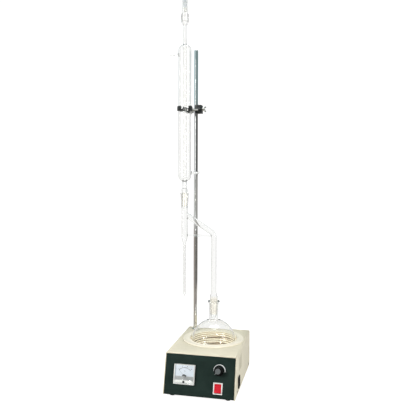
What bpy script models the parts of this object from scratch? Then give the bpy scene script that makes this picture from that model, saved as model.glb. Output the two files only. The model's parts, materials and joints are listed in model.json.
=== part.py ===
"""Distillation tester for water in oil: a heating-mantle base that carries a round flask, a Dean-Stark water trap,
a Liebig condenser and a drying tube, with a stand rod and a clamp. Metres, +Z up, front towards -Y.
The origin is the middle of the base plate's underside, and the feet reach below it."""

import math

import bmesh
import bpy
from mathutils import Matrix, Vector

# Base housing
BASE_WIDTH = 0.200
BASE_DEPTH = 0.292
HOUSING_HEIGHT = 0.109
FRONT_SETBACK = 0.0307  # how far the front's top edge stands behind its bottom edge
FOOT_HEIGHT = 0.007
BASE_Z = 0.0  # the underside of the base plate's pressed middle
PRESSED_DEPTH = 0.001  # how far the base plate's middle stands below its border
SHEET = 0.0015
GAP = 0.0003  # clearance between neighbouring pieces
TOP_Z = BASE_Z + HOUSING_HEIGHT
FRONT_Y = -BASE_DEPTH / 2
BACK_Y = BASE_DEPTH / 2
FRONT_SLOPE = math.atan2(FRONT_SETBACK, HOUSING_HEIGHT)
FRONT_LENGTH = math.hypot(FRONT_SETBACK, HOUSING_HEIGHT)
LIP_TOP = 0.003
LIP_SIDE = 0.001
PANEL_THICKNESS = 0.002

# Heating well and flask
FLASK_X, FLASK_Y = 0.0054, 0.0336
FLASK_RADIUS = 0.0655
FLASK_Z = TOP_Z - 0.006
FLASK_WALL = 0.0018
FLASK_RIM_Z = 0.224
NECK_RADIUS = 0.0148
FLANGE_RADIUS = 0.091
FLANGE_THICKNESS = 0.0035
COIL_WIRE = 0.0012
COIL_RADIUS = FLASK_RADIUS + COIL_WIRE + 0.0006
LINER_INNER = COIL_RADIUS + COIL_WIRE + 0.0017
LINER_OUTER = LINER_INNER + 0.003
WOOL_OUTER = LINER_OUTER + 0.010
SHELL_OUTER = WOOL_OUTER + 0.0018

# Glass train
JOINT_TAPER = 0.05  # radius lost per unit of length on a ground joint
TRAP_X = FLASK_X - 0.0911
TRAP_Y = FLASK_Y
LARGE_JOINT_RADIUS, LARGE_JOINT_LENGTH = 0.0120, 0.040
SMALL_JOINT_RADIUS, SMALL_JOINT_LENGTH = 0.0094, 0.038
TOP_JOINT_LENGTH = 0.026
VAPOUR_RADIUS, VAPOUR_BORE = 0.0083, 0.0069
ARM_TRAP_Z, ARM_BEND_Z = 0.4847, 0.4255  # where the sloping arm's centre line meets the two upright axes
BRACE_Z = 0.4195
TRAP_RIM_Z = 0.546
TRAP_TIP_Z = 0.232
JACKET_RADIUS, JACKET_WALL = 0.0195, 0.0016
JACKET_BOTTOM_Z, JACKET_TOP_Z = 0.5833, 0.9865
CORE_RADIUS, CORE_BORE = 0.0055, 0.0042
TOP_SOCKET_Z = 1.051
TOP_RIM_Z = TOP_SOCKET_Z + TOP_JOINT_LENGTH
DRYING_RADIUS, DRYING_BORE = 0.0083, 0.0069
DRYING_TOP_Z = 1.1545

# Stand and clamp
ROD_X, ROD_Y, ROD_RADIUS = -0.0725, 0.1226, 0.0065
ROD_TOP_Z = 0.991
CLAMP_Z = 0.799
BOSS_Z = CLAMP_Z + 0.0085
ARM_ROD_RADIUS = 0.004
ARM_X = ROD_X + ROD_RADIUS + ARM_ROD_RADIUS + 0.0025  # where the arm passes the rod
JAW_HEIGHT = 0.013
PAD_INNER = JACKET_RADIUS + GAP
PAD_OUTER = PAD_INNER + 0.0010
JAW_INNER = PAD_OUTER + GAP
JAW_OUTER = JAW_INNER + 0.0018
SHANK_X = 0.0095  # the shanks' outer faces, from the clamp's centre plane
SHANK_THICKNESS = 0.003
PIVOT_Y = TRAP_Y + 0.044
STUD_Y = TRAP_Y + 0.033
FIXED_TIP = -90 + 17  # the jaw tips, in degrees from the clamp's centre plane
MOVING_TIP = -90 + 47

FINE, COARSE = 22, 14  # segments of a turned piece


# ---- Helpers ----


def clear_scene():
    for obj in list(bpy.data.objects):
        bpy.data.objects.remove(obj)


def make_collection(name):
    collection = bpy.data.collections.new(name)
    bpy.context.scene.collection.children.link(collection)
    return collection


def make_material(name, colour, roughness, metallic=0.0, alpha=1.0):
    material = bpy.data.materials.new(name)
    material.use_nodes = True
    shader = material.node_tree.nodes["Principled BSDF"]
    shader.inputs["Base Color"].default_value = (*colour, 1.0)
    shader.inputs["Roughness"].default_value = roughness
    shader.inputs["Metallic"].default_value = metallic
    shader.inputs["Alpha"].default_value = alpha
    return material


def add_object(name, data, material=None, location=(0, 0, 0), rotation=(0, 0, 0), parent=None):
    """A part when it has a material, and otherwise a cutter or a shape to be joined."""
    obj = bpy.data.objects.new(name, data)
    (PARTS if material else CUTTERS).objects.link(obj)
    obj.location = location
    obj.rotation_euler = rotation
    obj.parent = parent
    if material:
        data.materials.append(material)
    else:
        obj.hide_render = True
        obj.display_type = "WIRE"
    return obj


def box(name, low, high, material=None, parent=None, bevel=0.0, rotation=(0, 0, 0), location=(0, 0, 0)):
    """A box between two corners, with an optional bevel."""
    low, high = Vector(low), Vector(high)
    shape = bmesh.new()
    bmesh.ops.create_cube(shape, size=1.0)
    bmesh.ops.scale(shape, vec=high - low, verts=shape.verts)
    bmesh.ops.translate(shape, vec=(high + low) / 2, verts=shape.verts)
    mesh = bpy.data.meshes.new(name)
    shape.to_mesh(mesh)
    shape.free()
    obj = add_object(name, mesh, material, location, rotation, parent)
    if bevel:
        rounding = obj.modifiers.new("rounding", "BEVEL")
        rounding.width = bevel
        rounding.segments = 2
    return obj


def cylinder(name, radius, low, high, material=None, parent=None, location=(0, 0, 0), rotation=(0, 0, 0),
             segments=COARSE, top_radius=None):
    """A cylinder or cone along its own Z, from low to high."""
    shape = bmesh.new()
    bmesh.ops.create_cone(
        shape, cap_ends=True, segments=segments, radius1=radius,
        radius2=radius if top_radius is None else top_radius, depth=high - low,
    )
    bmesh.ops.translate(shape, vec=(0, 0, (high + low) / 2), verts=shape.verts)
    mesh = bpy.data.meshes.new(name)
    shape.to_mesh(mesh)
    shape.free()
    mesh.shade_smooth()
    mesh.set_sharp_from_angle(angle=math.radians(40))
    return add_object(name, mesh, material, location, rotation, parent)


def turned(name, profile, material=None, location=(0, 0, 0), rotation=(0, 0, 0), segments=FINE, closed=False,
           parent=None):
    """A turned shape: (radius, height) points that run up the inside and down the outside."""
    mesh = bpy.data.meshes.new(name)
    points = [(radius, 0.0, height) for radius, height in profile]
    edges = [(i, i + 1) for i in range(len(points) - 1)]
    if closed:
        edges.append((len(points) - 1, 0))
    mesh.from_pydata(points, edges, [])
    obj = add_object(name, mesh, material, location, rotation, parent)
    screw = obj.modifiers.new("turn", "SCREW")
    screw.axis = "Z"
    screw.steps = segments
    screw.render_steps = segments
    screw.use_merge_vertices = True
    screw.merge_threshold = 0.00001
    screw.use_smooth_shade = True
    return obj


def outline(name, points, half_thickness, material=None, parent=None, location=(0, 0, 0), rotation=(0, 0, 0)):
    """A flat plate in its own XY plane, from a closed outline, as a mesh."""
    curve = bpy.data.curves.new(name, "CURVE")
    curve.dimensions = "2D"
    curve.fill_mode = "BOTH"
    curve.extrude = half_thickness
    spline = curve.splines.new("POLY")
    spline.points.add(len(points) - 1)
    for point, (x, y) in zip(spline.points, points):
        point.co = (x, y, 0.0, 1.0)
    spline.use_cyclic_u = True
    return curve_as_mesh(name, curve, material, parent, location, rotation)


def tube(name, points, radius, material=None, resolution=3, location=(0, 0, 0)):
    """A round tube or wire along points, as a mesh."""
    curve = bpy.data.curves.new(name, "CURVE")
    curve.dimensions = "3D"
    curve.bevel_depth = radius
    curve.bevel_resolution = resolution
    curve.use_fill_caps = True
    spline = curve.splines.new("POLY")
    spline.points.add(len(points) - 1)
    for point, place in zip(spline.points, points):
        point.co = (*place, 1.0)
    return curve_as_mesh(name, curve, material, None, location, (0, 0, 0))


def curve_as_mesh(name, curve, material, parent, location, rotation):
    guide = bpy.data.objects.new(name + "_guide", curve)
    CUTTERS.objects.link(guide)
    bpy.context.view_layer.update()
    graph = bpy.context.evaluated_depsgraph_get()
    mesh = bpy.data.meshes.new_from_object(guide.evaluated_get(graph))
    bpy.data.objects.remove(guide)
    mesh.name = name
    shape = bmesh.new()
    shape.from_mesh(mesh)
    bmesh.ops.remove_doubles(shape, verts=shape.verts, dist=0.000001)
    bmesh.ops.recalc_face_normals(shape, faces=shape.faces)
    shape.to_mesh(mesh)
    shape.free()
    mesh.shade_smooth()
    mesh.set_sharp_from_angle(angle=math.radians(40))
    return add_object(name, mesh, material, location, rotation, parent)


def combine(obj, operation, *others):
    """Joins other shapes to obj, or cuts them from it."""
    for other in others:
        boolean = obj.modifiers.new(other.name, "BOOLEAN")
        boolean.operation = operation
        boolean.object = other
    return obj


def arc(centre, radius, start, end, steps):
    """Points along an arc, from start to end in degrees."""
    angles = [math.radians(start + (end - start) * i / steps) for i in range(steps + 1)]
    return [(centre[0] + radius * math.cos(a), centre[1] + radius * math.sin(a)) for a in angles]


def rectangle(width, height, centre=(0, 0)):
    x, y = centre
    w, h = width / 2, height / 2
    return [(x - w, y - h), (x + w, y - h), (x + w, y + h), (x - w, y + h)]


def notched(half, low, high, corner):
    """A sheet's outline with its two upper corners cut off."""
    return [(-half, low), (half, low), (half, high - corner), (half - corner, high), (-half + corner, high),
            (-half, high - corner)]


clear_scene()
PARTS = make_collection("water_in_oil_distillation_tester")
CUTTERS = make_collection("cutters")

GLASS = make_material("clear_glass", (0.93, 0.96, 0.96), 0.02, alpha=0.35)
CREAM = make_material("cream_paint", (0.78, 0.73, 0.60), 0.45)
BLACK_PANEL = make_material("black_panel", (0.02, 0.028, 0.025), 0.4)
BLACK_PLASTIC = make_material("black_plastic", (0.02, 0.02, 0.02), 0.45)
WHITE_PLASTIC = make_material("white_plastic", (0.85, 0.85, 0.84), 0.4)
CLEAR_PLASTIC = make_material("clear_plastic", (0.9, 0.92, 0.94), 0.1, alpha=0.35)
DIAL_CARD = make_material("dial_card", (0.88, 0.89, 0.92), 0.5)
RED_PLASTIC = make_material("red_plastic", (0.75, 0.03, 0.04), 0.3)
GREY_PLASTIC = make_material("grey_plastic", (0.35, 0.36, 0.36), 0.45)
RUBBER = make_material("rubber", (0.03, 0.03, 0.03), 0.8)
CHROME = make_material("chrome", (0.62, 0.62, 0.62), 0.12, metallic=1.0)
ZINC = make_material("zinc", (0.6, 0.6, 0.58), 0.35, metallic=1.0)
BLACK_CAST = make_material("black_casting", (0.03, 0.035, 0.035), 0.4, metallic=0.3)
ALUMINIUM = make_material("aluminium", (0.7, 0.7, 0.7), 0.4, metallic=1.0)
GLASS_CLOTH = make_material("glass_cloth", (0.72, 0.68, 0.55), 0.9)
HEATER_WIRE = make_material("heater_wire", (0.33, 0.27, 0.16), 0.6, metallic=0.2)
WOOL = make_material("wool", (0.85, 0.84, 0.8), 1.0)
BOARD_GREEN = make_material("board", (0.05, 0.22, 0.1), 0.5)
DESICCANT = make_material("desiccant", (0.8, 0.82, 0.82), 0.6)
CORK_RED = make_material("red_rubber", (0.35, 0.12, 0.08), 0.75)


# ---- Housing ----


def housing_cover():
    """One folded sheet: two sides and the top, with a lip round the sloping front."""
    half, corner = BASE_WIDTH / 2, 0.004
    low, high = BASE_Z, TOP_Z
    inner = corner - SHEET
    section = [(-half, low)]
    section += arc((-half + corner, high - corner), corner, 180, 90, 4)
    section += arc((half - corner, high - corner), corner, 90, 0, 4)
    section += [(half, low), (half - SHEET, low)]
    section += arc((half - corner, high - corner), inner, 0, 90, 4)
    section += arc((-half + corner, high - corner), inner, 90, 180, 4)
    section += [(-half + SHEET, low)]
    cover = outline("housing_cover", section, BASE_DEPTH / 2, CREAM, rotation=(math.pi / 2, 0, 0))
    before_front = box("space_before_front", (-0.15, -0.05, 0), (0.15, 0.16, 0.1), parent=FRONT)
    lip_outer = BASE_WIDTH / 2 - corner / 2
    top = FRONT_LENGTH - 0.0002
    lip = [(-lip_outer, 0.0), (-lip_outer, top), (lip_outer, top), (lip_outer, 0.0),
           (half - SHEET - LIP_SIDE, 0.0), (half - SHEET - LIP_SIDE, top - LIP_TOP),
           (-half + SHEET + LIP_SIDE, top - LIP_TOP), (-half + SHEET + LIP_SIDE, 0.0)]
    lip_shape = outline("front_lip", lip, SHEET / 2, parent=FRONT, location=(0, 0, -SHEET / 2 - 0.00005))
    combine(cover, "UNION", lip_shape)
    well = cylinder("well_hole", SHELL_OUTER + 0.0015, 0, 0.2, location=(FLASK_X, FLASK_Y, 0), segments=FINE)
    rod_hole = cylinder("rod_hole", ROD_RADIUS + GAP, 0.09, 0.2, location=(ROD_X, ROD_Y, 0))
    inlet_hole = box("inlet_hole", (half - 0.01, INLET_Y - 0.0108, INLET_Z - 0.0143),
                     (half + 0.01, INLET_Y + 0.0108, INLET_Z + 0.0143))
    combine(cover, "DIFFERENCE", before_front, well, rod_hole, inlet_hole)
    for index in range(5):
        y = -0.072 + 0.010 * index
        slot = box(f"vent_{index}", (-0.15, y, 0.052), (0.15, y + 0.004, 0.092))
        combine(cover, "DIFFERENCE", slot)


def base_and_back():
    inside = BASE_WIDTH / 2 - SHEET - GAP
    border = BASE_Z + PRESSED_DEPTH
    plate = box("base_plate", (-inside, FRONT_Y + 0.006, border), (inside, BACK_Y - 0.003, border + SHEET), ALUMINIUM)
    combine(plate, "UNION", box("pressed_middle", (-0.062, -0.100, BASE_Z), (0.062, 0.100, border + 0.0004)))
    rear = outline("rear_panel", notched(inside, BASE_Z, TOP_Z - SHEET - GAP, 0.003), SHEET / 2, CREAM,
                   location=(0, BACK_Y - 0.0015, 0), rotation=(math.pi / 2, 0, 0))
    for index in range(6):
        x = -0.050 + 0.020 * index
        slot = box(f"rear_vent_{index}", (x - 0.006, BACK_Y - 0.01, 0.063), (x + 0.006, BACK_Y + 0.01, 0.067))
        combine(rear, "DIFFERENCE", slot)


def feet_and_screws():
    for side, x in (("left", -0.078), ("right", 0.078)):
        for end, y in (("front", FRONT_Y + 0.022), ("rear", BACK_Y - 0.022)):
            cylinder(f"foot_{end}_{side}", 0.0075, -FOOT_HEIGHT, BASE_Z + PRESSED_DEPTH - GAP, RUBBER, location=(x, y, 0),
                     segments=12, top_radius=0.009)
    head = [(0.0, 0.0), (0.0, 0.0018), (0.0022, 0.0014), (0.0030, 0.0006), (0.0030, 0.0)]
    head = [head[1], head[2], head[3], head[4], head[0]]
    for side, x, turn in (("left", -BASE_WIDTH / 2 - GAP, -math.pi / 2), ("right", BASE_WIDTH / 2 + GAP, math.pi / 2)):
        for end, y in (("front", -0.105), ("rear", 0.120)):
            turned(f"cover_screw_{end}_{side}", head, ZINC, (x, y, BASE_Z + 0.010), (0, turn, 0), segments=10)


# ---- Front panel ----

PANEL_TOP = FRONT_LENGTH - SHEET - 0.001  # along the slope, from the front's bottom edge
METER_X, METER_UP = -0.0417, FRONT_LENGTH - 0.0557
METER_WIDTH, METER_HEIGHT = 0.057, 0.052
AXLE_DROP, ZERO_DROP = 0.0045, 0.0195  # from the meter's middle
KNOB_X, KNOB_UP = 0.0532, FRONT_LENGTH - 0.0400
SWITCH_X, SWITCH_UP = 0.0521, FRONT_LENGTH - 0.0857
PANEL_FACE = -SHEET - GAP  # the panel's front face, behind the lip
INLET_Y, INLET_Z = -0.081, BASE_Z + 0.0283


def front_panel():
    half = BASE_WIDTH / 2 - SHEET - GAP
    plate = outline("front_panel", notched(half, 0.0015, PANEL_TOP - 0.0015, 0.0035), PANEL_THICKNESS / 2,
                    BLACK_PANEL, parent=FRONT, location=(0, 0, PANEL_FACE - PANEL_THICKNESS / 2))
    holes = [
        cylinder("meter_hole", 0.0255, -0.02, 0.02, parent=FRONT, location=(METER_X, METER_UP, 0), segments=FINE),
        cylinder("knob_hole", 0.0048, -0.02, 0.02, parent=FRONT, location=(KNOB_X, KNOB_UP, 0)),
        box("switch_hole", (SWITCH_X - 0.0113, SWITCH_UP - 0.0143, -0.02),
            (SWITCH_X + 0.0113, SWITCH_UP + 0.0143, 0.02), parent=FRONT),
    ]
    combine(plate, "DIFFERENCE", *holes)


def meter():
    """A moving-coil meter: a square case with a round back, a dial, a pointer on its axle and a clear front."""
    w, h = METER_WIDTH / 2, METER_HEIGHT / 2
    face = PANEL_FACE + GAP
    at = (METER_X, METER_UP, 0)
    case = box("meter_case", (-w, -h, face), (w, h, face + 0.009), WHITE_PLASTIC, parent=FRONT, location=at)
    barrel = cylinder("meter_barrel", 0.0250, face - 0.026, face + 0.004, parent=FRONT, location=at, segments=FINE)
    combine(case, "UNION", barrel)
    room = box("meter_room", (-w + 0.002, -h + 0.002, face + 0.002), (w - 0.002, h - 0.002, face + 0.02),
               parent=FRONT, location=at)
    axle_room = cylinder("meter_axle_room", 0.0045, face - 0.015, face + 0.01, parent=FRONT,
                         location=(METER_X, METER_UP - AXLE_DROP, 0))
    combine(case, "DIFFERENCE", room, axle_room)
    dial = box("meter_dial", (-w + 0.0025, -h + 0.0025, face + 0.0023), (w - 0.0025, h - 0.0025, face + 0.0031),
               DIAL_CARD, parent=FRONT, location=at)
    dial_hole = cylinder("dial_hole", 0.0035, -0.02, 0.02, parent=FRONT, location=(METER_X, METER_UP - AXLE_DROP, 0))
    combine(dial, "DIFFERENCE", dial_hole)
    pointer = box("meter_pointer", (-0.0004, -0.004, face + 0.0046), (0.0004, 0.0215, face + 0.0050), RED_PLASTIC,
                  parent=POINTER)
    axle = cylinder("pointer_axle", 0.0012, face - 0.006, face + 0.0056, parent=POINTER, segments=10)
    combine(pointer, "UNION", axle)
    cover = box("meter_cover", (-w, -h, face + 0.0093), (w, h, face + 0.0118), CLEAR_PLASTIC, parent=FRONT,
                location=at)
    screw_hole = cylinder("zero_screw_hole", 0.0028, 0, 0.03, parent=FRONT, location=(METER_X, METER_UP - ZERO_DROP, 0))
    combine(cover, "DIFFERENCE", screw_hole)
    zero = turned("meter_zero_screw", [(0.0, face + 0.0132), (0.0025, face + 0.0128), (0.0025, face + 0.0080),
                                       (0.0, face + 0.0080)], BLACK_PLASTIC, parent=ZERO, segments=14)
    slot = box("zero_slot", (-0.003, -0.0004, face + 0.0123), (0.003, 0.0004, face + 0.02), parent=ZERO)
    combine(zero, "DIFFERENCE", slot)


def heat_knob():
    """The knob with its grey cap, on the shaft of the potentiometer behind the panel."""
    face = PANEL_FACE
    body = turned("heat_knob", [
        (0.0033, face + 0.0010), (0.0033, face + 0.0150), (0.0, face + 0.0150), (0.0, face + 0.0195),
        (0.0078, face + 0.0195), (0.0078, face + 0.0206), (0.0094, face + 0.0206), (0.0104, face + 0.0196),
        (0.0110, face + 0.0060), (0.0130, face + 0.0045), (0.0130, face + 0.0010)],
        BLACK_PLASTIC, parent=KNOB, segments=FINE, closed=False)
    body.data.edges.add(1)
    body.data.edges[-1].vertices = (len(body.data.vertices) - 1, 0)
    groove = box("knob_index_groove", (-0.0004, 0.0108, face + 0.007), (0.0004, 0.016, face + 0.03), parent=KNOB)
    combine(body, "DIFFERENCE", groove)
    cylinder("knob_cap", 0.0075, face + 0.0198, face + 0.0212, GREY_PLASTIC, parent=KNOB, segments=20)
    cylinder("potentiometer_shaft", 0.0030, face - 0.010, face + 0.0145, ZINC, parent=KNOB, segments=12)
    back = face - PANEL_THICKNESS - GAP
    pot = cylinder("potentiometer_body", 0.0120, back - 0.016, back, BLACK_PLASTIC, parent=FRONT,
                   location=(KNOB_X, KNOB_UP, 0), segments=20)
    bush = cylinder("potentiometer_bush", 0.0045, back - 0.002, face + 0.0008, parent=FRONT,
                    location=(KNOB_X, KNOB_UP, 0), segments=12)
    bore = cylinder("potentiometer_bore", 0.0030 + GAP, back - 0.009, 0.02, parent=FRONT,
                    location=(KNOB_X, KNOB_UP, 0), segments=12)
    combine(pot, "UNION", bush)
    combine(pot, "DIFFERENCE", bore)


def power_switch():
    """A rocker in a white frame. The rocker's axle lies across the frame."""
    face = PANEL_FACE + GAP
    at = (SWITCH_X, SWITCH_UP, 0)
    frame = box("switch_frame", (-0.0127, -0.0152, face), (0.0127, 0.0152, face + 0.0022), WHITE_PLASTIC,
                parent=FRONT, location=at)
    body = box("switch_body", (-0.0110, -0.0139, face - 0.024), (0.0110, 0.0139, face + 0.001), parent=FRONT,
               location=at)
    room = box("switch_room", (-0.0096, -0.0126, face - 0.010), (0.0096, 0.0126, face + 0.02), parent=FRONT,
               location=at)
    combine(frame, "UNION", body)
    combine(frame, "DIFFERENCE", room)
    # Side view of the rocker about its axle: two faces that meet in a shallow V, and a round heel.
    side = [(-0.0106, 0.0058), (-0.0005, 0.0022), (0.0005, 0.0022), (0.0118, 0.0020), (0.0110, -0.0030)]
    side += arc((0.0, 0.0), 0.0062, -40, -140, 6)
    side += [(-0.0110, 0.0006)]
    outline("switch_rocker", side, 0.0092, RED_PLASTIC, parent=ROCKER,
            rotation=(math.pi / 2, 0, math.pi / 2))


# ---- Inside the base ----


def electronics():
    floor = BASE_Z + PRESSED_DEPTH + SHEET + GAP
    board = box("control_board", (-0.088, -0.112, floor + 0.006), (-0.040, -0.062, floor + 0.0076), BOARD_GREEN)
    for index, (x, y) in enumerate(((-0.084, -0.108), (-0.044, -0.108), (-0.084, -0.066), (-0.044, -0.066))):
        post = cylinder(f"board_post_{index}", 0.0025, floor, floor + 0.0065, location=(x, y, 0), segments=8)
        combine(board, "UNION", post)
    fins = box("triac_heatsink", (-0.034, -0.100, floor), (0.000, -0.070, floor + 0.022), ALUMINIUM)
    for index in range(4):
        x = -0.0305 + 0.0080 * index
        combine(fins, "DIFFERENCE", box(f"fin_space_{index}", (x, -0.12, floor + 0.004), (x + 0.004, -0.06, 0.06)))
    box("triac", (-0.025, -0.0697, floor + 0.002), (-0.010, -0.0654, floor + 0.018), BLACK_PLASTIC)
    block = box("terminal_block", (0.006, -0.106, floor), (0.038, -0.086, floor + 0.014), WHITE_PLASTIC)
    for index in range(3):
        hole = cylinder(f"terminal_{index}", 0.0025, 0.015, 0.05, location=(0.0115 + 0.0105 * index, -0.096, 0),
                        segments=8)
        combine(block, "DIFFERENCE", hole)


def power_inlet():
    """A three-pin appliance inlet in the right side."""
    half = BASE_WIDTH / 2
    at = (0, INLET_Y, INLET_Z)
    inlet = box("power_inlet", (half + GAP, -0.0122, -0.0158), (half + 0.0028, 0.0122, 0.0158), BLACK_PLASTIC,
                location=at)
    body = box("inlet_body", (half - 0.022, -0.0104, -0.0139), (half + 0.001, 0.0104, 0.0139), location=at)
    room = box("inlet_room", (half - 0.015, -0.0078, -0.0117), (half + 0.01, 0.0078, 0.0117), location=at)
    combine(inlet, "UNION", body)
    combine(inlet, "DIFFERENCE", room)
    for index, (y, z) in enumerate(((0.002, 0.0), (-0.003, 0.007), (-0.003, -0.007))):
        pin = box(f"inlet_pin_{index}", (half - 0.016, y - 0.001, z - 0.002), (half - 0.003, y + 0.001, z + 0.002),
                  location=at)
        combine(inlet, "UNION", pin)


# ---- Heating mantle ----


def bowl(radius, rim_height, steps, downward):
    """Points on a sphere about the flask's centre, between its lowest point and a height above the centre."""
    end = math.degrees(math.asin(rim_height / radius))
    points = arc((0.0, 0.0), radius, -90, end, steps)
    points[0] = (0.0, -radius)
    return points[::-1] if downward else points


def heating_mantle():
    at = (FLASK_X, FLASK_Y, FLASK_Z)
    rim = TOP_Z - FLASK_Z
    turned("mantle_liner", bowl(LINER_INNER, rim, 6, False) + bowl(LINER_OUTER, rim, 6, True), GLASS_CLOTH, at)
    turned("insulation_bowl", bowl(LINER_OUTER + GAP, rim, 6, False) + bowl(WOOL_OUTER, rim, 6, True), WOOL, at)
    turned("mantle_shell", bowl(WOOL_OUTER + GAP, rim, 6, False) + bowl(SHELL_OUTER, rim, 6, True), ALUMINIUM, at)
    low, high = TOP_Z + GAP, TOP_Z + FLANGE_THICKNESS
    turned("mantle_flange", [
        (LINER_INNER - 0.0004, low), (LINER_INNER - 0.0004, high - 0.001), (LINER_INNER + 0.0008, high),
        (FLANGE_RADIUS - 0.0030, high), (FLANGE_RADIUS, high - 0.0018), (FLANGE_RADIUS, low)],
        CREAM, (FLASK_X, FLASK_Y, 0), segments=32, closed=True)
    turns, per_turn = 4, 28
    count = turns * per_turn
    points = []
    for index in range(count + 1):
        share = index / count
        drop = math.radians(4 + 64 * share)
        turn = 2 * math.pi * turns * share
        reach = COIL_RADIUS * math.cos(drop)
        points.append((reach * math.cos(turn), reach * math.sin(turn), -COIL_RADIUS * math.sin(drop)))
    tube("heating_coil", points, COIL_WIRE, HEATER_WIRE, resolution=0, location=at)


# ---- Glass ----


def flask():
    inner = FLASK_RADIUS - FLASK_WALL
    neck_bore = NECK_RADIUS - 0.0022
    start = math.degrees(math.asin(math.sqrt(1 - (neck_bore / inner) ** 2)))
    inside = arc((0, FLASK_Z), inner, -90, start, 12)
    inside[0] = (0.0, FLASK_Z - inner)
    joint_end = LARGE_JOINT_RADIUS - JOINT_TAPER * LARGE_JOINT_LENGTH
    inside += [(joint_end, FLASK_RIM_Z - LARGE_JOINT_LENGTH), (LARGE_JOINT_RADIUS, FLASK_RIM_Z)]
    socket = LARGE_JOINT_RADIUS + 0.0030
    outside = [(0.0178, FLASK_RIM_Z), (0.0185, FLASK_RIM_Z - 0.0015), (0.0175, FLASK_RIM_Z - 0.0035),
               (socket, FLASK_RIM_Z - 0.0060), (NECK_RADIUS, FLASK_RIM_Z - LARGE_JOINT_LENGTH)]
    top = math.degrees(math.acos(NECK_RADIUS / FLASK_RADIUS))
    down = arc((0, FLASK_Z), FLASK_RADIUS, top, -90, 12)
    down[-1] = (0.0, FLASK_Z - FLASK_RADIUS)
    turned("flask", inside + outside + down, GLASS, (FLASK_X, FLASK_Y, 0), segments=24)


def vapour_path(end_z):
    """Centre line of the vapour tube: from the trap's axis down the arm, round the bend and straight down."""
    start = Vector((TRAP_X, ARM_TRAP_Z))
    corner = Vector((FLASK_X, ARM_BEND_Z))
    bend = 0.020
    along = (corner - start).normalized()
    turn = math.pi / 2 + math.atan2(along.y, along.x)
    reach = bend * math.tan(turn / 2)
    centre = Vector((FLASK_X - bend, corner.y - reach))
    first = math.degrees(turn)
    points = [start] + [Vector(p) for p in arc(centre, bend, first, 0, 6)] + [Vector((FLASK_X, end_z))]
    return [(p.x, TRAP_Y, p.y) for p in points]


def water_trap():
    """The graduated trap, its sloping arm, the vapour tube down to the flask's joint, and a brace between them."""
    rim, narrow, tip, seat = TRAP_RIM_Z, 0.3925, TRAP_TIP_Z, FLASK_RIM_Z
    socket = SMALL_JOINT_RADIUS + 0.0025
    joint_end = SMALL_JOINT_RADIUS - JOINT_TAPER * SMALL_JOINT_LENGTH
    trap = turned("water_trap", [
        (0.0, rim), (0.0135, rim), (0.0142, rim - 0.0015), (0.0133, rim - 0.0030), (socket, rim - 0.0050),
        (socket - 0.0010, rim - SMALL_JOINT_LENGTH), (0.0100, rim - 0.045), (0.0100, 0.4145), (0.0085, 0.4045),
        (0.0052, narrow + 0.004), (0.0045, narrow), (0.0045, tip + 0.012), (0.0022, tip + 0.001), (0.0, tip)],
        GLASS, (TRAP_X, TRAP_Y, 0), segments=16)
    cone = LARGE_JOINT_RADIUS - GAP
    lean = JOINT_TAPER
    foot = FLASK_RIM_Z - LARGE_JOINT_LENGTH
    joint = turned("vapour_joint", [
        (0.0, seat + 0.028), (VAPOUR_RADIUS - 0.0001, seat + 0.028), (0.0110, seat + 0.016),
        (cone + lean * 0.008, seat + 0.010), (cone + lean * 0.008, seat + 0.008), (cone - lean * LARGE_JOINT_LENGTH, foot), (0.0078, foot - 0.004),
        (0.0072, foot - 0.010), (0.0, foot - 0.010)], location=(FLASK_X, FLASK_Y, 0), segments=16)
    arm = tube("vapour_tube", vapour_path(foot + 0.02), VAPOUR_RADIUS, resolution=2)
    brace = tube("trap_brace", [(TRAP_X + 0.007, TRAP_Y, BRACE_Z), (FLASK_X - 0.0050, TRAP_Y, BRACE_Z)], 0.0030,
                 resolution=1)
    combine(trap, "UNION", joint, arm, brace)
    hollow = turned("trap_hollow", [
        (0.0, rim + 0.002), (SMALL_JOINT_RADIUS + lean * 0.002, rim + 0.002), (joint_end, rim - SMALL_JOINT_LENGTH),
        (0.0086, rim - 0.045), (0.0086, 0.4155), (0.0072, 0.4055), (0.0038, narrow + 0.004), (0.0033, narrow),
        (0.0033, tip + 0.013), (0.0008, tip + 0.004), (0.0, tip + 0.004)], location=(TRAP_X, TRAP_Y, 0), segments=16)
    joint_hollow = turned("joint_hollow", [
        (0.0, seat + 0.026), (VAPOUR_BORE - 0.0001, seat + 0.026), (0.0094, seat + 0.015), (0.0094, seat),
        (cone - lean * LARGE_JOINT_LENGTH - 0.0024, foot), (0.0056, foot - 0.004), (0.0052, foot - 0.02),
        (0.0, foot - 0.02)], location=(FLASK_X, FLASK_Y, 0), segments=16)
    arm_hollow = tube("arm_hollow", vapour_path(seat + 0.021), VAPOUR_BORE, resolution=2)
    combine(trap, "DIFFERENCE", hollow, joint_hollow, arm_hollow)


def hose_nozzle(name, direction, height):
    """A hose nozzle that points along X, with its barb, and the bore through it."""
    reach = direction * 0.0455
    turn = (0, direction * math.pi / 2, 0)
    at = (TRAP_X, TRAP_Y, height)
    length = abs(reach)
    solid = turned(name, [(0.0, length), (0.0030, length), (0.0046, length - 0.005), (0.0034, length - 0.0055),
                          (0.0046, length - 0.011), (0.0036, length - 0.0115), (0.0040, length - 0.018),
                          (0.0046, JACKET_RADIUS - 0.0012), (0.0, JACKET_RADIUS - 0.0012)],
                   location=at, rotation=turn, segments=12)
    bore = cylinder(name + "_bore", 0.0021, JACKET_RADIUS - 0.005, length + 0.01, location=at, rotation=turn,
                    segments=10)
    return solid, bore


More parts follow.
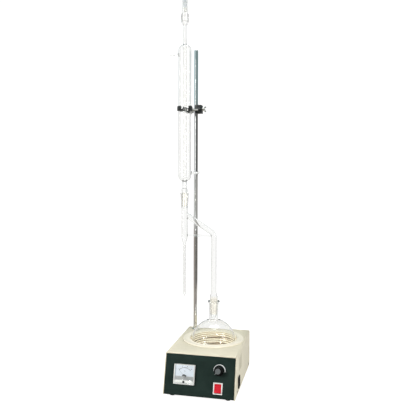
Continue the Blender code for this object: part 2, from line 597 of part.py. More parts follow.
def condenser():
    """A straight-tube condenser: the core tube, the water jacket fused round it, and two hose nozzles."""
    joint = SMALL_JOINT_RADIUS - GAP
    foot = TRAP_RIM_Z - SMALL_JOINT_LENGTH
    socket_in = SMALL_JOINT_RADIUS
    socket_end = socket_in - JOINT_TAPER * TOP_JOINT_LENGTH
    bottom, top = JACKET_BOTTOM_Z, JACKET_TOP_Z
    shoulder = JACKET_RADIUS - CORE_RADIUS
    bore = [(0.0034, foot - 0.012), (0.0050, foot), (0.0062, TRAP_RIM_Z), (CORE_BORE, bottom),
            (CORE_BORE, TOP_SOCKET_Z - 0.002), (socket_end, TOP_SOCKET_Z + 0.002), (socket_in, TOP_RIM_Z)]
    outside = [(0.0118, TOP_RIM_Z), (0.0126, TOP_RIM_Z - 0.0015), (0.0122, TOP_RIM_Z - 0.0035),
               (0.0114, TOP_RIM_Z - 0.0060), (0.0108, TOP_SOCKET_Z + 0.001), (CORE_RADIUS, TOP_SOCKET_Z - 0.0045)]
    outside += arc((CORE_RADIUS, top - shoulder), shoulder, 90, 0, 4)
    outside += arc((CORE_RADIUS, bottom + shoulder), shoulder, 0, -83, 4)
    outside += [(0.0072, bottom - 0.002), (0.0072, TRAP_RIM_Z + 0.015), (0.0103, TRAP_RIM_Z + 0.0105),
                (0.0103, TRAP_RIM_Z + 0.005),
                (joint + JOINT_TAPER * 0.003, TRAP_RIM_Z + 0.003), (joint - JOINT_TAPER * SMALL_JOINT_LENGTH, foot),
                (0.0050, foot - 0.004), (0.0044, foot - 0.012)]
    body = turned("condenser", bore + outside, GLASS, (TRAP_X, TRAP_Y, 0), segments=18, closed=True)
    upper, upper_bore = hose_nozzle("upper_nozzle", -1, 0.9595)
    lower, lower_bore = hose_nozzle("lower_nozzle", 1, 0.6074)
    combine(body, "UNION", upper, lower)
    inner = shoulder - JACKET_WALL
    jacket = [(CORE_RADIUS, bottom + JACKET_WALL + 0.001), (CORE_RADIUS, top - JACKET_WALL - 0.001)]
    jacket += arc((CORE_RADIUS, top - shoulder), inner, 84, 0, 4)
    jacket += arc((CORE_RADIUS, bottom + shoulder), inner, 0, -84, 4)
    water_space = turned("water_space", jacket, location=(TRAP_X, TRAP_Y, 0), segments=18, closed=True)
    combine(body, "DIFFERENCE", water_space, upper_bore, lower_bore)


def drying_tube():
    """A straight tube of desiccant between two wool plugs, in the condenser's top joint."""
    joint = SMALL_JOINT_RADIUS - GAP
    foot = TOP_SOCKET_Z + 0.006
    at = (TRAP_X, TRAP_Y, 0)
    turned("drying_tube", [
        (0.0058, foot), (0.0066, TOP_RIM_Z - 0.002), (DRYING_BORE, TOP_RIM_Z + 0.004), (DRYING_BORE, DRYING_TOP_Z),
        (0.0090, DRYING_TOP_Z), (0.0092, DRYING_TOP_Z - 0.0012), (DRYING_RADIUS, DRYING_TOP_Z - 0.0028),
        (DRYING_RADIUS, TOP_RIM_Z + 0.006), (joint + JOINT_TAPER * 0.001, TOP_RIM_Z + 0.001),
        (joint - JOINT_TAPER * (TOP_RIM_Z - foot), foot)], GLASS, at, segments=16, closed=True)
    fit = DRYING_BORE - GAP
    cylinder("lower_wool_plug", fit, TOP_RIM_Z + 0.008, TOP_RIM_Z + 0.018, WOOL, location=at)
    cylinder("desiccant", fit, TOP_RIM_Z + 0.0183, DRYING_TOP_Z - 0.0240, DESICCANT, location=at)
    cylinder("upper_wool_plug", fit, DRYING_TOP_Z - 0.0237, DRYING_TOP_Z - 0.0160, WOOL, location=at)
    top = DRYING_TOP_Z
    turned("drying_stopper", [
        (0.0025, top - 0.013), (0.0025, top + 0.010), (0.0088, top + 0.010), (0.0084, top + 0.0004),
        (fit, top + 0.0002), (fit - 0.0006, top - 0.013)], CORK_RED, at, segments=14, closed=True)
    turned("vent_tube", [(0.0012, top - 0.0134), (0.0012, top + 0.022), (0.0022, top + 0.022), (0.0022, top - 0.0134)],
           GLASS, at, segments=12, closed=True)


# ---- Stand and clamp ----


def hexagon(name, across, low, high, hole, material, location):
    nut = cylinder(name, across / math.sqrt(3), low, high, material, location=location, segments=6)
    combine(nut, "DIFFERENCE", cylinder(name + "_hole", hole, low - 0.01, high + 0.01, location=location))


def stand():
    at = (ROD_X, ROD_Y, 0)
    rod = cylinder("stand_rod", ROD_RADIUS, TOP_Z - 0.020, ROD_TOP_Z, CHROME, location=at, segments=20)
    rounding = rod.modifiers.new("rounding", "BEVEL")
    rounding.width = 0.0008
    rounding.limit_method = "ANGLE"
    under = TOP_Z - SHEET
    turned("rod_collar", [(ROD_RADIUS + GAP, TOP_Z + GAP), (ROD_RADIUS + GAP, TOP_Z + 0.0030), (0.0088, TOP_Z + 0.0030),
                          (0.0098, TOP_Z + 0.0020), (0.0098, TOP_Z + GAP)], ZINC, at, segments=20, closed=True)
    turned("rod_washer", [(ROD_RADIUS + GAP, under - 0.0020), (ROD_RADIUS + GAP, under - GAP),
                          (0.0120, under - GAP), (0.0120, under - 0.0020)], ZINC, at, segments=20, closed=True)
    hexagon("rod_lock_nut", 0.018, under - 0.0083, under - 0.0023, ROD_RADIUS + GAP, ZINC, at)


def boss_head():
    """A cast boss. An open hook takes the stand rod and a bore beside it takes the clamp's arm. The rod's thumb screw
    comes from behind and the arm's from the right."""
    z, right = BOSS_Z, ARM_X + 0.0068
    low, high = z - 0.013, z + 0.013
    body = box("boss_head", (ROD_X - 0.001, ROD_Y - 0.0125, low), (right, ROD_Y + 0.0125, high), BLACK_CAST,
               bevel=0.0012)
    heel = box("boss_heel", (ROD_X - 0.0082, ROD_Y + 0.0055, low + 0.0012), (ROD_X + 0.003, ROD_Y + 0.0117, high - 0.0012),
               bevel=0.0010)
    rod_bore = cylinder("boss_rod_bore", ROD_RADIUS + GAP, z - 0.03, z + 0.03, location=(ROD_X, ROD_Y, 0), segments=20)
    arm_bore = cylinder("boss_arm_bore", ARM_ROD_RADIUS + GAP, -0.03, 0.03, location=(ARM_X, ROD_Y, z),
                        rotation=(math.pi / 2, 0, 0))
    rod_thread = cylinder("boss_rod_thread", 0.0027 + GAP, ROD_RADIUS - 0.002, 0.03, location=(ROD_X, ROD_Y, z),
                          rotation=(-math.pi / 2, 0, 0), segments=12)
    arm_thread = cylinder("boss_arm_thread", 0.0023 + GAP, ARM_ROD_RADIUS - 0.002, 0.03, location=(ARM_X, ROD_Y, z),
                          rotation=(0, math.pi / 2, 0), segments=12)
    upper_slit = box("boss_upper_slit", (right - 0.0066, ROD_Y - 0.03, z + 0.0066), (right - 0.0040, ROD_Y + 0.03, z + 0.03))
    lower_slit = box("boss_lower_slit", (right - 0.0066, ROD_Y - 0.03, z - 0.03), (right - 0.0040, ROD_Y + 0.03, z - 0.0066))
    combine(body, "UNION", heel)
    combine(body, "DIFFERENCE", rod_bore, arm_bore, rod_thread, arm_thread, upper_slit, lower_slit)


def wing_screw(name, shank, start, seat, parent, wing):
    """A thumb screw along its parent's Z: a shank from start to seat, a collar, and two wings."""
    screw = turned(name, [(0.0, seat + 0.0075), (0.0040, seat + 0.0075), (0.0052, seat + 0.0010), (0.0052, seat),
                          (shank, seat), (shank, start), (0.0, start)], ZINC, parent=parent, segments=12)
    reach, root = wing, seat + 0.0020
    shape = [(-0.0030, root), (-reach, root + 0.0060)]
    shape += arc((-reach + 0.0022, root + 0.0085), 0.0025, 200, 60, 4)
    shape += [(0.0, root + 0.0040)]
    shape += arc((reach - 0.0022, root + 0.0085), 0.0025, 120, -20, 4)
    shape += [(reach, root + 0.0060), (0.0030, root)]
    wings = outline(name + "_wings", shape, 0.0010, parent=parent, rotation=(math.pi / 2, 0, 0))
    return combine(screw, "UNION", wings)


def jaw_section(side, tip_angle):
    """Outline of one jaw seen from above, about the condenser's axis: pivot eye, shank and curved grip.
    side is 1 on the right and -1 on the left."""
    eye = PIVOT_Y - TRAP_Y
    outer, inner = SHANK_X, SHANK_X - SHANK_THICKNESS
    root_out = math.degrees(math.acos(outer / JAW_OUTER))
    root_in = math.degrees(math.acos(inner / JAW_INNER))
    points = arc((inner + SHANK_THICKNESS / 2 - 0.0005, eye), 0.0042, 15, 170, 6)
    points += [(inner, eye - 0.006)]
    points += arc((0.0, 0.0), JAW_INNER, root_in, tip_angle, 12)
    points += arc((0.0, 0.0), JAW_OUTER, tip_angle, root_out, 12)
    points += [(outer, eye - 0.006)]
    return [(side * x, y) for x, y in points]


def arm_path(start_x, start_y):
    """Centre line of the clamp's arm: straight out of the yoke, aside in two bends, and straight through the boss."""
    bend, turn = 0.006, 55.0
    side = ARM_X - start_x
    run = (side - 2 * bend * (1 - math.cos(math.radians(turn)))) / math.sin(math.radians(turn))
    first = [(bend - bend * math.cos(math.radians(a)), bend * math.sin(math.radians(a))) for a in (11, 22, 33, 44, 55)]
    end_x, end_y = (first[-1][0] + run * math.sin(math.radians(turn)), first[-1][1] + run * math.cos(math.radians(turn)))
    second = [(side - bend + bend * math.cos(math.radians(a)), end_y + bend * (math.sin(math.radians(turn))
                                                                              - math.sin(math.radians(a))))
              for a in (44, 33, 22, 11, 0)]
    points = [(0.0, -0.004), (0.0, 0.0)] + first + [(end_x, end_y)] + second
    last = ROD_Y + 0.0135 - start_y
    points.append((side, last))
    low, high = CLAMP_Z + 0.0015, BOSS_Z
    rise = second[-1][1]
    return [(start_x + x, start_y + 0.004 + y, low + (high - low) * min(max(y / rise, 0.0), 1.0)) for x, y in points]


def clamp():
    z = CLAMP_Z
    yoke_front, yoke_back = PIVOT_Y - 0.0055, PIVOT_Y + 0.0110
    arm = box("clamp_arm", (TRAP_X - 0.0140, yoke_front, z - 0.0075), (TRAP_X + 0.0140, yoke_back, z + 0.0075),
              BLACK_CAST, bevel=0.0012)
    bar = tube("clamp_bar", arm_path(TRAP_X + 0.008, yoke_back - 0.003), ARM_ROD_RADIUS, resolution=2)
    jaw_slot = box("jaw_slot", (TRAP_X + 0.0015, yoke_front - 0.01, z - 0.0045),
                   (TRAP_X + 0.03, PIVOT_Y + 0.0062, z + 0.0045))
    pin_bore = cylinder("pin_bore", 0.0016 + GAP, z - 0.02, z + 0.02, location=(PIVOT_X, PIVOT_Y, 0), segments=12)
    fixed_slot = box("fixed_slot", (TRAP_X - SHANK_X - GAP, yoke_front - 0.01, z - 0.0045),
                     (TRAP_X - SHANK_X + SHANK_THICKNESS + GAP, PIVOT_Y + 0.004, z + 0.0045))
    combine(arm, "UNION", bar)
    combine(arm, "DIFFERENCE", jaw_slot, fixed_slot, pin_bore)

    about = (TRAP_X, TRAP_Y, z)
    stud_hole = cylinder("stud_hole", 0.0020 + GAP, -0.03, 0.03, location=(TRAP_X, STUD_Y, z),
                         rotation=(0, math.pi / 2, 0), segments=12)
    fixed = outline("fixed_jaw", fixed_jaw_section(FIXED_TIP), JAW_HEIGHT / 2, BLACK_CAST, location=about)
    neck = box("fixed_neck", (-0.05, 0.0255, -0.02), (0.05, 0.08, -0.0042), location=about)
    neck_top = box("fixed_neck_top", (-0.05, 0.0255, 0.0042), (0.05, 0.08, 0.02), location=about)
    combine(fixed, "DIFFERENCE", neck, neck_top, stud_hole)

    moving = outline("moving_jaw", jaw_section(1, MOVING_TIP), JAW_HEIGHT / 2, BLACK_CAST, parent=JAW,
                     location=(TRAP_X - PIVOT_X, TRAP_Y - PIVOT_Y, 0))
    stud_slot = box("stud_slot", (TRAP_X, STUD_Y - 0.0050, z - 0.0026), (TRAP_X + 0.03, STUD_Y + 0.0050, z + 0.0026))
    pivot_hole = cylinder("pivot_hole", 0.0016 + GAP, z - 0.02, z + 0.02, location=(PIVOT_X, PIVOT_Y, 0), segments=12)
    combine(moving, "DIFFERENCE", neck, neck_top, stud_slot, pivot_hole)

    pad_end = 62
    moving = arc((0.0, 0.0), PAD_INNER, pad_end, MOVING_TIP, 12) + arc((0.0, 0.0), PAD_OUTER, MOVING_TIP, pad_end, 12)
    fixed = arc((0.0, 0.0), PAD_INNER, pad_end, FIXED_TIP, 14) + arc((0.0, 0.0), PAD_OUTER, FIXED_TIP, pad_end, 14)
    outline("moving_jaw_pad", moving, JAW_HEIGHT / 2 - 0.0005, RUBBER, parent=JAW,
            location=(TRAP_X - PIVOT_X, TRAP_Y - PIVOT_Y, 0))
    outline("fixed_jaw_pad", [(-x, y) for x, y in fixed], JAW_HEIGHT / 2 - 0.0005, RUBBER, location=about)

    pin = cylinder("jaw_pin", 0.0016, z - 0.0078, z + 0.0084, ZINC, location=(PIVOT_X, PIVOT_Y, 0), segments=12)
    combine(pin, "UNION", cylinder("jaw_pin_head", 0.0028, z + 0.0078, z + 0.0090, location=(PIVOT_X, PIVOT_Y, 0),
                                   segments=12))
    stud = cylinder("jaw_stud", 0.0020, -SHANK_X - 0.0015, 0.0330, ZINC, location=(TRAP_X, STUD_Y, z),
                    rotation=(0, math.pi / 2, 0), segments=12)
    combine(stud, "UNION", cylinder("stud_head", 0.0040, -SHANK_X - 0.0025, -SHANK_X - GAP,
                                    location=(TRAP_X, STUD_Y, z), rotation=(0, math.pi / 2, 0), segments=12))
    seat = SHANK_X + 0.0006
    nut = turned("jaw_wing_nut", [(0.0020 + GAP, seat), (0.0020 + GAP, seat + 0.0075), (0.0040, seat + 0.0075),
                                  (0.0052, seat + 0.0010), (0.0052, seat)], ZINC, parent=NUT, segments=12,
                 closed=True)
    for side in (1, -1):
        wing = [(0.0040 * side, seat + 0.0024), (0.0124 * side, seat + 0.0006), (0.0132 * side, seat + 0.0030),
                (0.0036 * side, seat + 0.0070)]
        combine(nut, "UNION", outline(f"nut_wing_{side}", wing, 0.0010, parent=NUT,
                                      rotation=(math.pi / 2, 0, 0)))


def fixed_jaw_section(tip):
    """The fixed jaw: the same grip and shank as the moving one, with a straight tail in the yoke."""
    tail = PIVOT_Y - TRAP_Y + 0.0035
    outer, inner = SHANK_X, SHANK_X - SHANK_THICKNESS
    root_out = math.degrees(math.acos(outer / JAW_OUTER))
    root_in = math.degrees(math.acos(inner / JAW_INNER))
    points = [(outer, tail), (inner, tail)]
    points += arc((0.0, 0.0), JAW_INNER, root_in, tip, 12)
    points += arc((0.0, 0.0), JAW_OUTER, tip, root_out, 12)
    return [(-x, y) for x, y in points]


# ---- Joint frames ----


def empty(name, location, rotation=(0, 0, 0), parent=None):
    obj = bpy.data.objects.new(name, None)
    PARTS.objects.link(obj)
    obj.location = location
    obj.rotation_euler = rotation
    obj.parent = parent
    return obj


PIVOT_X = TRAP_X + SHANK_X - SHANK_THICKNESS / 2 - 0.0005
FRONT = empty("front_plane", (0, FRONT_Y, BASE_Z), (math.pi / 2 - FRONT_SLOPE, 0, 0))
POINTER = empty("pointer_axis", (METER_X, METER_UP - AXLE_DROP, 0), (0, 0, math.radians(45)), FRONT)
ZERO = empty("zero_axis", (METER_X, METER_UP - ZERO_DROP, 0), (0, 0, math.radians(20)), FRONT)
KNOB = empty("knob_axis", (KNOB_X, KNOB_UP, 0), (0, 0, math.radians(135)), FRONT)
ROCKER = empty("rocker_axis", (SWITCH_X, SWITCH_UP, PANEL_FACE + GAP + 0.0002), (0, 0, 0), FRONT)
JAW = empty("jaw_axis", (PIVOT_X, PIVOT_Y, CLAMP_Z))
NUT = empty("nut_axis", (TRAP_X, STUD_Y, CLAMP_Z), (0, math.pi / 2, 0))
ROD_SCREW = empty("rod_screw_axis", (ROD_X, ROD_Y, BOSS_Z), (-math.pi / 2, 0, 0))
ARM_SCREW = empty("arm_screw_axis", (ARM_X, ROD_Y, BOSS_Z), (0, math.pi / 2, 0))

housing_cover()
base_and_back()
feet_and_screws()
front_panel()
meter()
heat_knob()
power_switch()
electronics()
power_inlet()
heating_mantle()
flask()
water_trap()
condenser()
drying_tube()
stand()
boss_head()
wing_screw("rod_thumb_screw", 0.0027, ROD_RADIUS + GAP, 0.0131, ROD_SCREW, 0.0105)
wing_screw("arm_thumb_screw", 0.0023, ARM_ROD_RADIUS + GAP, 0.0074, ARM_SCREW, 0.0090)
clamp()
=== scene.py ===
"""The looks of a water-in-oil distillation tester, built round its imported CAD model."""

import json
import math
import random

import bmesh
import bpy
from mathutils import Matrix, Vector, noise

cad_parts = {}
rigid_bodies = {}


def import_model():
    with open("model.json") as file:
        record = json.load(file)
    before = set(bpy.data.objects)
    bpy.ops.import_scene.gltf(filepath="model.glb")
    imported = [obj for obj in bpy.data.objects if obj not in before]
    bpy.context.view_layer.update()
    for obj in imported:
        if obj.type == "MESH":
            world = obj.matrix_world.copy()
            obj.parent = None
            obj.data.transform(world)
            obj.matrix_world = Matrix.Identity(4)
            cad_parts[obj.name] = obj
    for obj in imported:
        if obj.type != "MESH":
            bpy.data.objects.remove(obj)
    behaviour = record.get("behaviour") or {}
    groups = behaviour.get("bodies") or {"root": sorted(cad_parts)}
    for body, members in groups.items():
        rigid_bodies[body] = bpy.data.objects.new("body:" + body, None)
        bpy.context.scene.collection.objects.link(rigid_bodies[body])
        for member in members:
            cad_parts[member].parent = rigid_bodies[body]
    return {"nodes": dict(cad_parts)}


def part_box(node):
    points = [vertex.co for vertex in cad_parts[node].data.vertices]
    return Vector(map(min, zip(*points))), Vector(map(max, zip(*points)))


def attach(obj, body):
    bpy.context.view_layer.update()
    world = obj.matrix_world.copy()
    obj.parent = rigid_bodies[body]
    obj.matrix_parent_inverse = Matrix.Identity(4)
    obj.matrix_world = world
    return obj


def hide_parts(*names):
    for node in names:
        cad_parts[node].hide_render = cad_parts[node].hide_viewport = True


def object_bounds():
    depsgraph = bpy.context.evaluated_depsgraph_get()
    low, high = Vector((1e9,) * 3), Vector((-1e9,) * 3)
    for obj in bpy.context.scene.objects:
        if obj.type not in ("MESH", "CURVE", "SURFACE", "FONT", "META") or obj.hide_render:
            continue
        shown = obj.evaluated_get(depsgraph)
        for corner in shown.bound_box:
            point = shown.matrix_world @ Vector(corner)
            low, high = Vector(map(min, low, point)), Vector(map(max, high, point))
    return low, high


for leftover in list(bpy.data.objects):
    bpy.data.objects.remove(leftover)
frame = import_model()
CAD_LOW, CAD_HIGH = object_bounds()
NODES = frame["nodes"]


def middle(node):
    low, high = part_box(node)
    return (low + high) / 2


def heights(node):
    low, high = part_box(node)
    return low.z, high.z


def off_axis(point, x, y):
    return math.hypot(point.x - x, point.y - y)


# Places read from the frame
FLANGE_LOW, FLANGE_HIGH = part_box("mantle_flange")
FLASK_X, FLASK_Y = middle("mantle_flange").xy
TOP_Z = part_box("housing_cover")[1].z
ROD_X, ROD_Y = middle("stand_rod").xy
ROD_LOW, ROD_TOP = heights("stand_rod")
FLASK_RADIUS = 0.0655
FLASK_FOOT, FLASK_RIM = heights("flask")
FLASK_Z = FLASK_FOOT + FLASK_RADIUS
TRAP_X, TRAP_Y = middle("vent_tube").xy
TRAP_TIP = 0.232
TRAP_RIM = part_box("water_trap")[1].z
CONDENSER_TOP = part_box("condenser")[1].z
TOP_SOCKET = CONDENSER_TOP - 0.026
JACKET_TOP = TOP_SOCKET - 0.0645
JACKET_BOTTOM = JACKET_TOP - 0.4032
DRYING_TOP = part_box("drying_tube")[1].z

# Sizes of the glass
JACKET_RADIUS, CORE_RADIUS, CORE_BORE, JACKET_WALL = 0.0195, 0.0055, 0.0042, 0.0016
VAPOUR_RADIUS, VAPOUR_BORE = 0.0083, 0.0069
SMALL_JOINT, SMALL_LENGTH = 0.0094, 0.038
LARGE_JOINT, LARGE_LENGTH = 0.0120, 0.040
TAPER = 0.05
GAP = 0.0003
CONE_TOP = 0.2325
UPPER_NOZZLE, LOWER_NOZZLE = 0.9595, 0.6074
ARM_TOP, ARM_CORNER, ARM_BEND = 0.4847, 0.4255, 0.020
BRACE_Z = 0.4195

# The sloping front: how far it leans back, and how high it is
FRONT_DEPTH, FRONT_HEIGHT = 0.0307, 0.109
SLOPE = math.atan2(FRONT_DEPTH, FRONT_HEIGHT)
FRONT_LENGTH = math.hypot(FRONT_DEPTH, FRONT_HEIGHT)
FRONT = Matrix.Translation((0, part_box("housing_cover")[0].y, 0)) @ Matrix.Rotation(math.pi / 2 - SLOPE, 4, "X")
PANEL_FACE = -0.0018
PRINT_THICKNESS = 0.00008
METER_X, METER_UP, METER_WIDTH = -0.0417, FRONT_LENGTH - 0.0557, 0.057
AXLE_DROP, ZERO_DROP = 0.0045, 0.0195
KNOB_X, KNOB_UP = 0.0532, FRONT_LENGTH - 0.0400

# Light: the floor's own glow to the camera, the room's light, and the painted glow given to the bowl's cloth, which
# stands in for the light that the white bowl passes from wall to wall
FLOOR_GLOW, AMBIENT, CLOTH_PAINTED_GLOW = 0.84, 0.26, 0.40
WHITE = (1.0, 1.0, 1.0, 1.0)
# What metal mirrors, in layers from low to high: the heights between which a layer fades in, and its stops round the
# horizon, each a place from 0 to 1 and a colour. The middle of the round, 0.5, is the side toward the camera.
MIRROR_RIGHT, MIRROR_NEAR = (0.973, 0.232, 0), (0.232, -0.973, 0)
MIRROR_LAYERS = (
    (None, None, ((0.15, (0.55, 0.54, 0.48)), (0.36, (0.42, 0.38, 0.33)), (0.50, (0.16, 0.13, 0.11)),
                  (0.66, (0.34, 0.31, 0.28)), (0.85, (0.75, 0.73, 0.68)))),
    (-0.215, -0.19, ((0.20, (0.38, 0.34, 0.31)), (0.42, (0.26, 0.23, 0.20)), (0.52, (0.05, 0.045, 0.035)),
                     (0.62, (0.05, 0.045, 0.035)), (0.78, (0.20, 0.18, 0.16)))),
    (-0.105, -0.085, ((0.12, (0.48, 0.48, 0.46)), (0.36, (0.70, 0.70, 0.68)), (0.46, (0.20, 0.20, 0.18)),
                      (0.53, (0.20, 0.20, 0.18)), (0.64, (0.42, 0.42, 0.40)), (0.85, (0.36, 0.36, 0.34)))),
    (0.0, 0.012, ((0.14, (0.40, 0.40, 0.40)), (0.30, (0.55, 0.55, 0.55)), (0.36, (1.15, 1.15, 1.15)),
                  (0.45, (1.15, 1.15, 1.15)), (0.49, (0.09, 0.09, 0.09)), (0.60, (0.09, 0.09, 0.09)),
                  (0.80, (0.26, 0.26, 0.25)))),
    (0.122, 0.145, ((0.14, (0.50, 0.62, 0.64)), (0.30, (0.46, 0.58, 0.60)), (0.44, (0.32, 0.42, 0.42)),
                    (0.57, (0.15, 0.21, 0.21)), (0.64, (0.15, 0.21, 0.21)), (0.78, (0.26, 0.34, 0.34)))))
# Small lamps that show only as highlights on the flask: direction, half angle in degrees, power
SPOTS = ((-0.69, -0.63, 0.36, 5.5, 18.0), (0.41, -0.56, 0.72, 5.0, 14.0), (0.75, -0.59, 0.30, 3.5, 14.0))
CAMERA_PLACE = (0.31817, -1.51332, 0.59197)
CAMERA_TURN = (12.75158, -2.69544, 0.21088)  # yaw, pitch and roll in degrees
CAMERA_LENS = 47.022


# ---- Materials ----


def new_material(name):
    material = bpy.data.materials.new(name)
    material.use_nodes = True
    return material, material.node_tree, material.node_tree.nodes["Principled BSDF"]


def feed(tree, node, values):
    """Sets a node's inputs or settings by name or number, each to a value or to another node's output."""
    for key, value in values.items():
        if not isinstance(key, int) and key not in node.inputs:
            setattr(node, key, value)
        elif isinstance(value, bpy.types.NodeSocket):
            tree.links.new(value, node.inputs[key])
        else:
            node.inputs[key].default_value = value
    return node


def add_node(tree, kind, *sources, **values):
    """A shader node, with sources for its inputs in their order."""
    node = feed(tree, tree.nodes.new(kind), values)
    return feed(tree, node, dict(enumerate(sources)))


def ramp(tree, source, stops):
    node = add_node(tree, "ShaderNodeValToRGB", source)
    elements = node.color_ramp.elements
    while len(elements) < len(stops):
        elements.new(0.5)
    for element, (position, colour) in zip(elements, stops):
        element.position = position
        element.color = (*colour, 1.0)
    return node.outputs["Color"]


def roughen(tree, shader, height, strength, distance):
    bump = add_node(tree, "ShaderNodeBump", Strength=strength, Distance=distance, Height=height)
    feed(tree, shader, {"Normal": bump.outputs["Normal"]})


def textured(name, dark, light, roughness, spread=0.08, scale=60.0, bump=0.1, bump_scale=900.0, bump_size=0.0001,
             metallic=0.0, stretch=(1, 1, 1), specular=0.5):
    """A surface whose colour and roughness wander between two values, with a fine bump."""
    material, tree, shader = new_material(name)
    place = add_node(tree, "ShaderNodeTexCoord").outputs["Object"]
    place = add_node(tree, "ShaderNodeMapping", place, Scale=stretch).outputs["Vector"]
    broad = add_node(tree, "ShaderNodeTexNoise", place, Scale=scale, Detail=4.0).outputs["Fac"]
    fine = add_node(tree, "ShaderNodeTexNoise", place, Scale=bump_scale, Detail=3.0).outputs["Fac"]
    wander = add_node(tree, "ShaderNodeMapRange", broad, 0.0, 1.0, max(0.02, roughness - spread), roughness + spread)
    feed(tree, shader, {"Base Color": ramp(tree, broad, [(0.3, dark), (0.7, light)]), "Metallic": metallic,
                        "Roughness": wander.outputs["Result"], "Specular IOR Level": specular})
    roughen(tree, shader, fine, bump, bump_size)
    return material


def glass(name, tint, roughness=0.0, frost=0.0):
    """Clear or ground glass. Lamps shine through it, so that it casts only a faint shadow."""
    material, tree, shader = new_material(name)
    feed(tree, shader, {"Base Color": (*tint, 1.0), "Roughness": roughness, "IOR": 1.47, "Transmission Weight": 1.0})
    if frost:
        place = add_node(tree, "ShaderNodeTexCoord").outputs["Object"]
        grain = add_node(tree, "ShaderNodeTexNoise", place, Scale=2600.0, Detail=2.0)
        roughen(tree, shader, grain.outputs["Fac"], frost, 0.0001)
    path = add_node(tree, "ShaderNodeLightPath").outputs
    either = add_node(tree, "ShaderNodeMath", path["Is Shadow Ray"], path["Is Diffuse Ray"], operation="MAXIMUM")
    clear = add_node(tree, "ShaderNodeBsdfTransparent", Color=(0.97, 0.98, 0.97, 1.0))
    blend = add_node(tree, "ShaderNodeMixShader", either.outputs["Value"], shader.outputs["BSDF"],
                     clear.outputs["BSDF"])
    feed(tree, tree.nodes["Material Output"], {"Surface": blend.outputs["Shader"]})
    return material


def woven(name, thread, shade):
    """Glass-fibre cloth: two crossing wave textures, for the threads, and a broad stain, with a painted glow in its
    own colour that stands in for light bouncing round the bowl.
    """
    material, tree, shader = new_material(name)
    place = add_node(tree, "ShaderNodeTexCoord").outputs["Object"]
    threads = [add_node(tree, "ShaderNodeTexWave", place, Scale=420.0, Distortion=1.2, Detail=1.0,
                        bands_direction=direction).outputs["Fac"] for direction in ("X", "Z")]
    cross = add_node(tree, "ShaderNodeMath", *threads, operation="MULTIPLY").outputs["Value"]
    stain = add_node(tree, "ShaderNodeTexNoise", place, Scale=45.0, Detail=5.0).outputs["Fac"]
    blend = add_node(tree, "ShaderNodeMath", cross, 0.5, stain, operation="MULTIPLY_ADD").outputs["Value"]
    colour = ramp(tree, blend, [(0.3, shade), (0.8, thread)])
    # Emission in the cloth's own colour: a painted glow, not a lamp
    feed(tree, shader, {"Base Color": colour, "Emission Color": colour, "Emission Strength": CLOTH_PAINTED_GLOW,
                        "Roughness": 0.85, "Sheen Weight": 0.3})
    roughen(tree, shader, cross, 0.7, 0.0004)
    return material


CREAM = textured("cream_powder_coat", (0.76, 0.71, 0.545), (0.81, 0.76, 0.595), 0.42, bump=0.25, bump_scale=1400.0)
CREAM_RING = textured("cream_ring_enamel", (0.88, 0.83, 0.68), (0.93, 0.88, 0.73), 0.38, bump=0.12,
                      bump_scale=1100.0, specular=0.3)
PANEL = textured("dark_green_panel", (0.011, 0.022, 0.018), (0.016, 0.029, 0.024), 0.5, bump=0.15,
                 bump_scale=2200.0, scale=35.0, specular=0.15)
PRINT = textured("white_print", (0.82, 0.83, 0.82), (0.92, 0.93, 0.92), 0.55, bump=0.1, bump_scale=3000.0)
BLACK_PLASTIC = textured("moulded_black", (0.003, 0.003, 0.003), (0.006, 0.006, 0.006), 0.45, bump=0.2,
                         bump_scale=1800.0, specular=0.10)
KNOB_CAP = textured("grey_knob_cap", (0.12, 0.13, 0.13), (0.20, 0.21, 0.21), 0.35, bump=0.3, bump_scale=500.0,
                    metallic=0.4)
WHITE_PLASTIC = textured("moulded_white", (0.84, 0.84, 0.81), (0.90, 0.90, 0.87), 0.32, bump=0.08,
                         bump_scale=1200.0, specular=0.3)
RED_PLASTIC = textured("red_rocker", (0.56, 0.010, 0.022), (0.68, 0.018, 0.034), 0.22, spread=0.05, bump=0.06,
                       bump_scale=900.0, specular=0.4)
DIAL = textured("dial_card", (0.70, 0.75, 0.82), (0.78, 0.83, 0.90), 0.5, bump=0.06, bump_scale=2500.0, scale=25.0)
INK = textured("dial_ink", (0.02, 0.02, 0.022), (0.04, 0.04, 0.045), 0.6, bump=0.05, bump_scale=3000.0)
GREY_RIBS = textured("grey_ribbed_mask", (0.36, 0.37, 0.37), (0.52, 0.53, 0.53), 0.4, bump=0.2, bump_scale=900.0)
CHROME = textured("chrome_plate", (0.84, 0.85, 0.86), (0.90, 0.91, 0.92), 0.03, spread=0.01, bump=0.01,
                  bump_scale=400.0, metallic=1.0, stretch=(1, 1, 0.05))
ZINC = textured("zinc_plate", (0.46, 0.46, 0.44), (0.62, 0.61, 0.58), 0.30, bump=0.2, bump_scale=800.0,
                metallic=1.0, scale=220.0)
CASTING = textured("black_casting", (0.012, 0.013, 0.013), (0.030, 0.032, 0.032), 0.42, bump=0.5,
                   bump_scale=700.0, scale=200.0)
SHEET_METAL = textured("mill_aluminium", (0.45, 0.45, 0.45), (0.6, 0.6, 0.6), 0.38, bump=0.15, metallic=1.0,
                       bump_scale=500.0, stretch=(1, 0.05, 1))
RUBBER = textured("black_rubber", (0.010, 0.010, 0.010), (0.022, 0.022, 0.022), 0.75, bump=0.4, bump_scale=900.0)
RED_RUBBER = textured("red_rubber", (0.20, 0.035, 0.022), (0.30, 0.060, 0.040), 0.7, bump=0.35, bump_scale=1100.0)
WOOL = textured("wool_fibre", (0.70, 0.69, 0.66), (0.88, 0.87, 0.84), 0.95, bump=0.9, bump_scale=1500.0,
                bump_size=0.0006, stretch=(1, 1, 0.4))
GRANULE = textured("desiccant_granules", (0.78, 0.81, 0.84), (0.93, 0.94, 0.95), 0.5, bump=0.4, bump_scale=900.0,
                   scale=300.0)
BOARD = textured("circuit_board_lacquer", (0.02, 0.12, 0.05), (0.05, 0.22, 0.09), 0.35, bump=0.2, scale=300.0)
